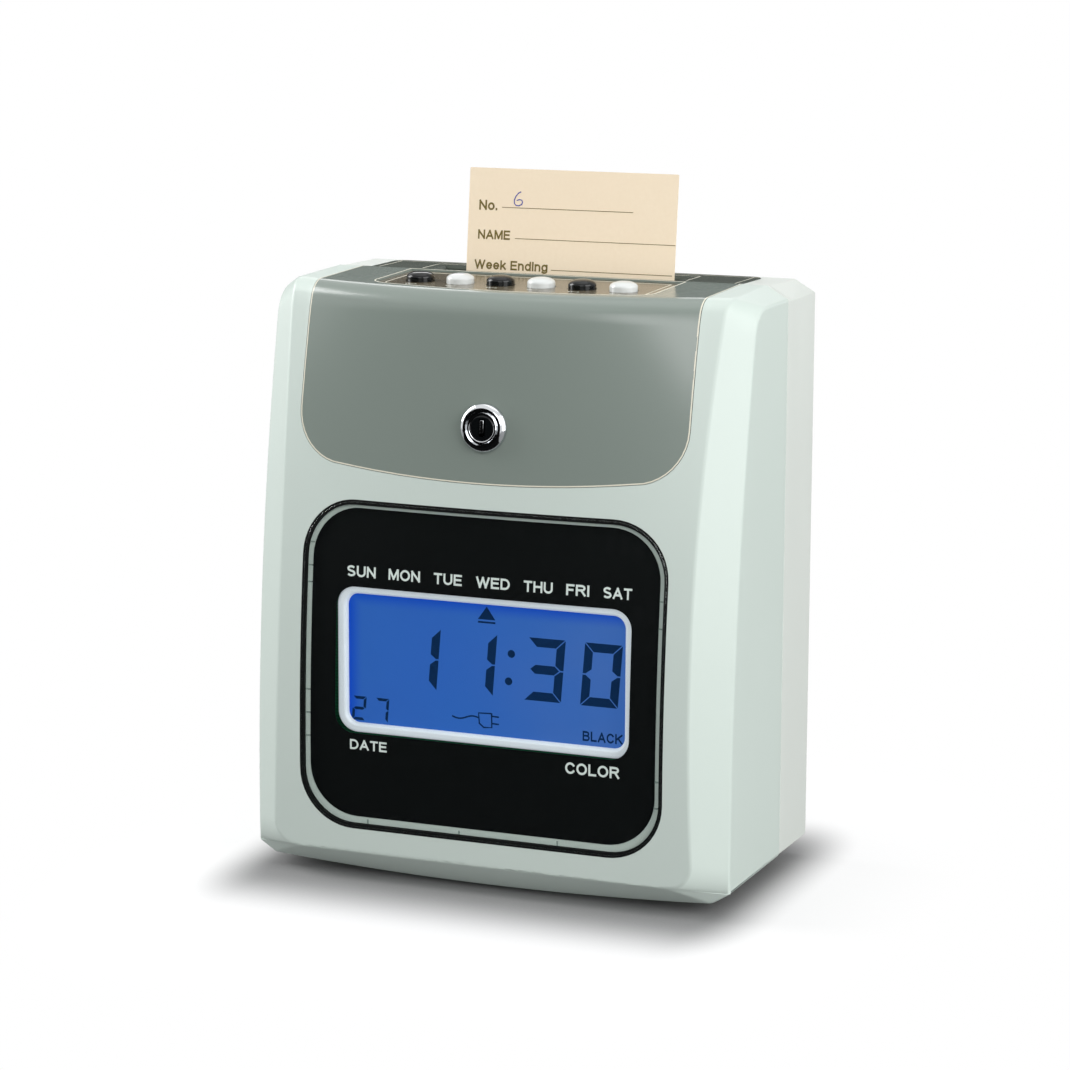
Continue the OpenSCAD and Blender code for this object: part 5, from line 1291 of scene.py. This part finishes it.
# Pan-head cross-recess screws, cold headed and zinc plated, with a 1 mm thread pitch. One tree makes both
# sets: six hold the display and key boards in the cover, eight hold the frames and main board in the case
screw_head_d = 5.4 * MM
screw_head_h = 1.8 * MM
screw_d = 2.4 * MM
screw_pitch = 1 * MM
tree = bpy.data.node_groups.new("pan_head_screws", "GeometryNodeTree")
group_input(tree, "Spots", "NodeSocketGeometry", None)
head_d_id = group_input(tree, "Head diameter", "NodeSocketFloat", screw_head_d)
head_h_id = group_input(tree, "Head height", "NodeSocketFloat", screw_head_h)
shank_d_id = group_input(tree, "Shank diameter", "NodeSocketFloat", screw_d)
shank_l_id = group_input(tree, "Shank length", "NodeSocketFloat", 6 * MM)
pitch_id = group_input(tree, "Thread pitch", "NodeSocketFloat", screw_pitch)
given = add(tree, "NodeGroupInput").outputs
head_r = add(tree, "ShaderNodeMath", {0: given["Head diameter"], 1: 0.5}, operation="MULTIPLY").outputs[0]
head_top = add(tree, "ShaderNodeMath", {0: head_r, 1: 0.72}, operation="MULTIPLY").outputs[0]
head = add(tree, "GeometryNodeMeshCone", {
    "Vertices": 32, "Radius Top": head_top, "Radius Bottom": head_r, "Depth": given["Head height"]})
slot_l = add(tree, "ShaderNodeMath", {0: head_r, 1: 1.05}, operation="MULTIPLY").outputs[0]
slot_w = add(tree, "ShaderNodeMath", {0: head_r, 1: 0.28}, operation="MULTIPLY").outputs[0]
cut = add(tree, "GeometryNodeMeshBoolean", {"Mesh 1": head.outputs[0]},
          operation="DIFFERENCE", solver="EXACT")
for long_x, long_y in ((slot_l, slot_w), (slot_w, slot_l)):
    size = add(tree, "ShaderNodeCombineXYZ", {"X": long_x, "Y": long_y, "Z": given["Head height"]})
    bar = add(tree, "GeometryNodeMeshCube", {"Size": size.outputs[0]})
    lift = add(tree, "ShaderNodeCombineXYZ", {"Z": given["Head height"]})
    slot = add(tree, "GeometryNodeTransform", {"Geometry": bar.outputs[0], "Translation": lift.outputs[0]})
    tree.links.new(slot.outputs[0], cut.inputs["Mesh 2"])
shank_r = add(tree, "ShaderNodeMath", {0: given["Shank diameter"], 1: 0.42}, operation="MULTIPLY").outputs[0]
shank = add(tree, "GeometryNodeMeshCylinder", {
    "Vertices": 20, "Radius": shank_r, "Depth": given["Shank length"]})
middle_z = add(tree, "ShaderNodeMath", {0: given["Shank length"], 1: -0.5}, operation="MULTIPLY")
down = add(tree, "ShaderNodeCombineXYZ", {"Z": middle_z.outputs[0]})
shank = add(tree, "GeometryNodeTransform", {"Geometry": shank.outputs[0], "Translation": down.outputs[0]})
turns = add(tree, "ShaderNodeMath", {0: given["Shank length"], 1: given["Thread pitch"]}, operation="DIVIDE")
helix = add(tree, "GeometryNodeCurveSpiral", {
    "Resolution": 20, "Rotations": turns.outputs[0], "Start Radius": shank_r, "End Radius": shank_r,
    "Height": given["Shank length"]})
ridge_r = add(tree, "ShaderNodeMath", {0: given["Shank diameter"], 1: 0.11}, operation="MULTIPLY")
ridge = add(tree, "GeometryNodeCurvePrimitiveCircle", {"Resolution": 4, "Radius": ridge_r.outputs[0]})
thread = add(tree, "GeometryNodeCurveToMesh", {
    "Curve": helix.outputs[0], "Profile Curve": ridge.outputs[0], "Fill Caps": True})
tip_z = add(tree, "ShaderNodeMath", {0: given["Shank length"], 1: -1.0}, operation="MULTIPLY")
low_end = add(tree, "ShaderNodeCombineXYZ", {"Z": tip_z.outputs[0]})
thread = add(tree, "GeometryNodeTransform", {
    "Geometry": thread.outputs[0], "Translation": low_end.outputs[0]})
screw = add(tree, "GeometryNodeJoinGeometry")
for part in (cut, shank, thread):
    tree.links.new(part.outputs[0], screw.inputs[0])
instancer(tree, given["Spots"], screw.outputs[0], zinc)
cover_spots = [(side * post_x, board_back_y, z) for side in (-1, 1) for z in post_levels]
cover_aims = [(0, 1, 0)] * 4
cover_spots += [tuple(key_frame @ Vector((side * key_post_x, 0, -12.6 * MM))) for side in (-1, 1)]
cover_aims += [tuple(key_frame.to_3x3() @ Vector((0, 0, -1)))] * 2
case_spots = [(side * 75 * MM, y * MM, 15.3 * MM) for side in (-1, 1) for y in (-12, 26)]
case_aims = [(0, 0, 1)] * 4
case_spots += [(side * 57 * MM, 43.7 * MM, z * MM) for side in (-1, 1) for z in (68, 178)]
case_aims += [(0, -1, 0)] * 4
for name, body, spots, aims, length in (
        ("cover_screws", "cover", cover_spots, cover_aims, 6 * MM),
        ("case_screws", "base", case_spots, case_aims, 5.6 * MM)):
    made = spread("pan_head_" + name, spots, aims, tree, {
        head_d_id: screw_head_d, head_h_id: screw_head_h, shank_d_id: screw_d, shank_l_id: length,
        pitch_id: screw_pitch})
    finish_piece(made, None, body, [name], 35)

# The lead screw is a rolled rod with a fast four-start thread, 12 mm of travel to the turn, and the feed
# tyres are ground rubber rings with ribs across their tread. Both follow the leaning path of the card
card_frame = Matrix.Translation((0, 22 * MM, deck_z)) @ Matrix.Rotation(math.radians(-6), 4, "X")
starts = 4
lead = 12 * MM
lead_r = 3 * MM
thread_deep = 0.35 * MM
tree = bpy.data.node_groups.new("threaded_rod", "GeometryNodeTree")
group_input(tree, "Spots", "NodeSocketGeometry", None)
rod_r_id = group_input(tree, "Radius", "NodeSocketFloat", lead_r)
rod_l_id = group_input(tree, "Length", "NodeSocketFloat", 100 * MM)
lead_id = group_input(tree, "Lead", "NodeSocketFloat", lead)
given = add(tree, "NodeGroupInput").outputs
core_r = add(tree, "ShaderNodeMath", {0: given["Radius"], 1: thread_deep}, operation="SUBTRACT").outputs[0]
core = add(tree, "GeometryNodeMeshCylinder", {"Vertices": 32, "Radius": core_r, "Depth": given["Length"]})
rod_parts = [core]
turns = add(tree, "ShaderNodeMath", {0: given["Length"], 1: given["Lead"]}, operation="DIVIDE")
end_z = add(tree, "ShaderNodeMath", {0: given["Length"], 1: -0.5}, operation="MULTIPLY")
half_back = add(tree, "ShaderNodeCombineXYZ", {"Z": end_z.outputs[0]})
for start in range(starts):
    helix = add(tree, "GeometryNodeCurveSpiral", {
        "Resolution": 32, "Rotations": turns.outputs[0], "Start Radius": core_r, "End Radius": core_r,
        "Height": given["Length"]})
    ridge = add(tree, "GeometryNodeCurvePrimitiveCircle", {"Resolution": 6, "Radius": 0.34 * MM})
    thread = add(tree, "GeometryNodeCurveToMesh", {
        "Curve": helix.outputs[0], "Profile Curve": ridge.outputs[0], "Fill Caps": True})
    rod_parts.append(add(tree, "GeometryNodeTransform", {
        "Geometry": thread.outputs[0], "Translation": half_back.outputs[0],
        "Rotation": (0, 0, math.tau / starts * start)}))
whole = add(tree, "GeometryNodeJoinGeometry")
for part in rod_parts:
    tree.links.new(part.outputs[0], whole.inputs[0])
instancer(tree, given["Spots"], whole.outputs[0], drawn_steel)
rod_x = (-70.5 * MM, 75.1 * MM)
middle = card_frame @ Vector((sum(rod_x) / 2, -19 * MM, -66 * MM))
made = spread("lead_screw_rod", [tuple(middle)], [(1, 0, 0)], tree, {
    rod_r_id: lead_r, rod_l_id: rod_x[1] - rod_x[0], lead_id: lead})
finish_piece(made, None, "lead_screw", ["lead_screw"], 40)

tyre_r = 7 * MM
tyre_w = 14 * MM
tyre_ribs = 32
rib_high, rib_w = 0.6 * MM, 0.7 * MM
tree = bpy.data.node_groups.new("ribbed_tyres", "GeometryNodeTree")
group_input(tree, "Spots", "NodeSocketGeometry", None)
tyre_r_id = group_input(tree, "Radius", "NodeSocketFloat", tyre_r)
tyre_w_id = group_input(tree, "Width", "NodeSocketFloat", tyre_w)
ribs_id = group_input(tree, "Ribs", "NodeSocketInt", tyre_ribs)
given = add(tree, "NodeGroupInput").outputs
tread_r = add(tree, "ShaderNodeMath", {0: given["Radius"], 1: rib_high / 2}, operation="SUBTRACT").outputs[0]
drum = add(tree, "GeometryNodeMeshCylinder", {"Vertices": 48, "Radius": tread_r, "Depth": given["Width"]})
ring = add(tree, "GeometryNodeMeshCircle", {"Vertices": given["Ribs"], "Radius": tread_r})
size = add(tree, "ShaderNodeCombineXYZ", {"X": rib_high, "Y": rib_w, "Z": given["Width"]})
rib = add(tree, "GeometryNodeMeshCube", {"Size": size.outputs[0]})
outward = add(tree, "GeometryNodeInputPosition")
turned = add(tree, "FunctionNodeAlignRotationToVector", {"Vector": outward.outputs[0]}, axis="X")
ribs = add(tree, "GeometryNodeInstanceOnPoints", {
    "Points": ring.outputs[0], "Instance": rib.outputs[0], "Rotation": turned.outputs[0]})
tyre = add(tree, "GeometryNodeJoinGeometry")
for part in (drum, ribs):
    tree.links.new(part.outputs[0], tyre.inputs[0])
instancer(tree, given["Spots"], tyre.outputs[0], rubber)
spots = [tuple(card_frame @ Vector((x * MM, -7.3 * MM, -126 * MM))) for x in (-18, 32)]
made = spread("ribbed_feed_tyres", spots, [(1, 0, 0)] * 2, tree, {
    tyre_r_id: tyre_r, tyre_w_id: tyre_w, ribs_id: tyre_ribs})
finish_piece(made, None, "feed_shaft", ["feed_tyres"], 35)

# The time card is cream manila board, 0.4 mm thick, printed in olive brown with a few plain headings, rules
# and a tinted column head with ticks, and numbered in blue ballpoint
card_thick = 0.4 * MM
fibre_size = 1.43 * MM
pulp_size = 22.2 * MM
# Manila board: a warm dull cream, a little cloudy from the pulp. Its fibre is drawn 1.4 mm coarse, as the
# real one is too fine to show
manila, tree = new_material("cream_manila_card")
place = add(tree, "ShaderNodeTexCoord")
fibre = add(tree, "ShaderNodeTexNoise", {
    "Vector": place.outputs["Object"], "Scale": 1 / fibre_size, "Detail": 5.0})
pulp = add(tree, "ShaderNodeTexNoise", {
    "Vector": place.outputs["Object"], "Scale": 1 / pulp_size, "Detail": 3.0})
colour = add(tree, "ShaderNodeMix", {0: fibre.outputs["Fac"], 6: tint("EBD9BD"), 7: tint("F4E4CB")},
             data_type="RGBA")
colour = add(tree, "ShaderNodeMix", {0: pulp.outputs["Fac"], 6: colour.outputs[2], 7: tint("EFDDC2")},
             data_type="RGBA")
bump = add(tree, "ShaderNodeBump", {"Height": fibre.outputs["Fac"], "Distance": 0.02 * MM, "Strength": 0.5})
shader = add(tree, "ShaderNodeBsdfPrincipled", {
    "Base Color": colour.outputs[2], "Roughness": 0.72, "IOR": 1.45, "Normal": bump.outputs["Normal"]})
add(tree, "ShaderNodeOutputMaterial", {"Surface": shader.outputs[0]})
card_edge = [(-30.94, -147), (47.4, -147)] + arc(47.4, -145, 2, 2, -90, 0, 6)
card_edge += arc(48.9, 39.5, 0.5, 0.5, 0, 90, 4) + arc(-36.1, 39.5, 0.5, 0.5, 90, 180, 4) + [(-36.6, -141.34)]
blank = prism([(x * MM, w * MM) for x, w in card_edge], 0, card_thick)
blank.transform(card_frame)
new_piece("manila_card", blank, manila, "time_card", ["time_card"], 30)
# Offset ink: a dry olive brown, slightly patchy
olive_ink = moulded_plastic("olive_brown_offset_ink", "6B5C22", 0.6, 0.2, 0.001, 0.12)
# Screened tint: a light flat tan
tan_ink = moulded_plastic("tan_screened_ink", "C9AE84", 0.6, 0.2, 0.001, 0.05)
# Ballpoint ink: blue, its line uneven in strength
pen_ink = moulded_plastic("blue_ballpoint_ink", "2F3D9A", 0.5, 0.2, 0.001, 0.15)
on_card = card_frame @ Matrix.Translation((0, -0.025 * MM, 0))


def card_words(word, x0, w0, x1, w1):
    """Letters in a box on the card, in mm across and up from the slot."""
    flat = lettering(word, (x0 * MM, w0 * MM, x1 * MM, w1 * MM))
    flat.transform(stand_up)
    return flat


def card_marks(outlines):
    """Thin printed shapes from outlines of (across, up) points in mm."""
    return [prism([(x * MM, w * MM) for x, w in outline], -0.02 * MM, 0) for outline in outlines]


heads = [card_words("No.", -32.2, 23.7, -24.6, 27.6), card_words("NAME", -32.2, 12.5, -18.8, 16.1),
         card_words("Week Ending", -33.2, 0.9, -2.6, 4.5)]
rules = card_marks([[(-22.6, 24.85), (31.6, 24.85), (31.6, 25.1), (-22.6, 25.1)],
                    [(-16.7, 13.05), (49.3, 13.05), (49.3, 13.3), (-16.7, 13.3)],
                    [(-1.2, 1.5), (48.5, 1.5), (48.5, 1.75), (-1.2, 1.75)]])
rules += card_marks([[(x, -1.9), (x + 0.25, -1.9), (x + 0.25, -0.5), (x, -0.5)]
                     for x in (-30, -18, -6, 6.5, 18.5, 30.5, 42.5)])
print_bm = joined(heads + rules)
print_bm.transform(on_card)
new_piece("card_print", print_bm, olive_ink, "time_card")
band = joined(card_marks([[(-36, -2.6), (49.2, -2.6), (49.2, -1.4), (-36, -1.4)]]))
band.transform(on_card)
new_piece("card_band", band, tan_ink, "time_card")
six = [(-14.9, 31.2), (-16.0, 30.6), (-17.0, 29.4), (-17.6, 27.9), (-17.5, 26.6), (-16.8, 25.9),
       (-15.6, 25.8), (-14.5, 26.3), (-14.1, 27.2), (-14.5, 28.0), (-15.5, 28.2), (-16.6, 27.8)]
pen = joined(card_marks([stroke(six, 0.42)]))
pen.transform(on_card)
new_piece("card_number", pen, pen_ink, "time_card")
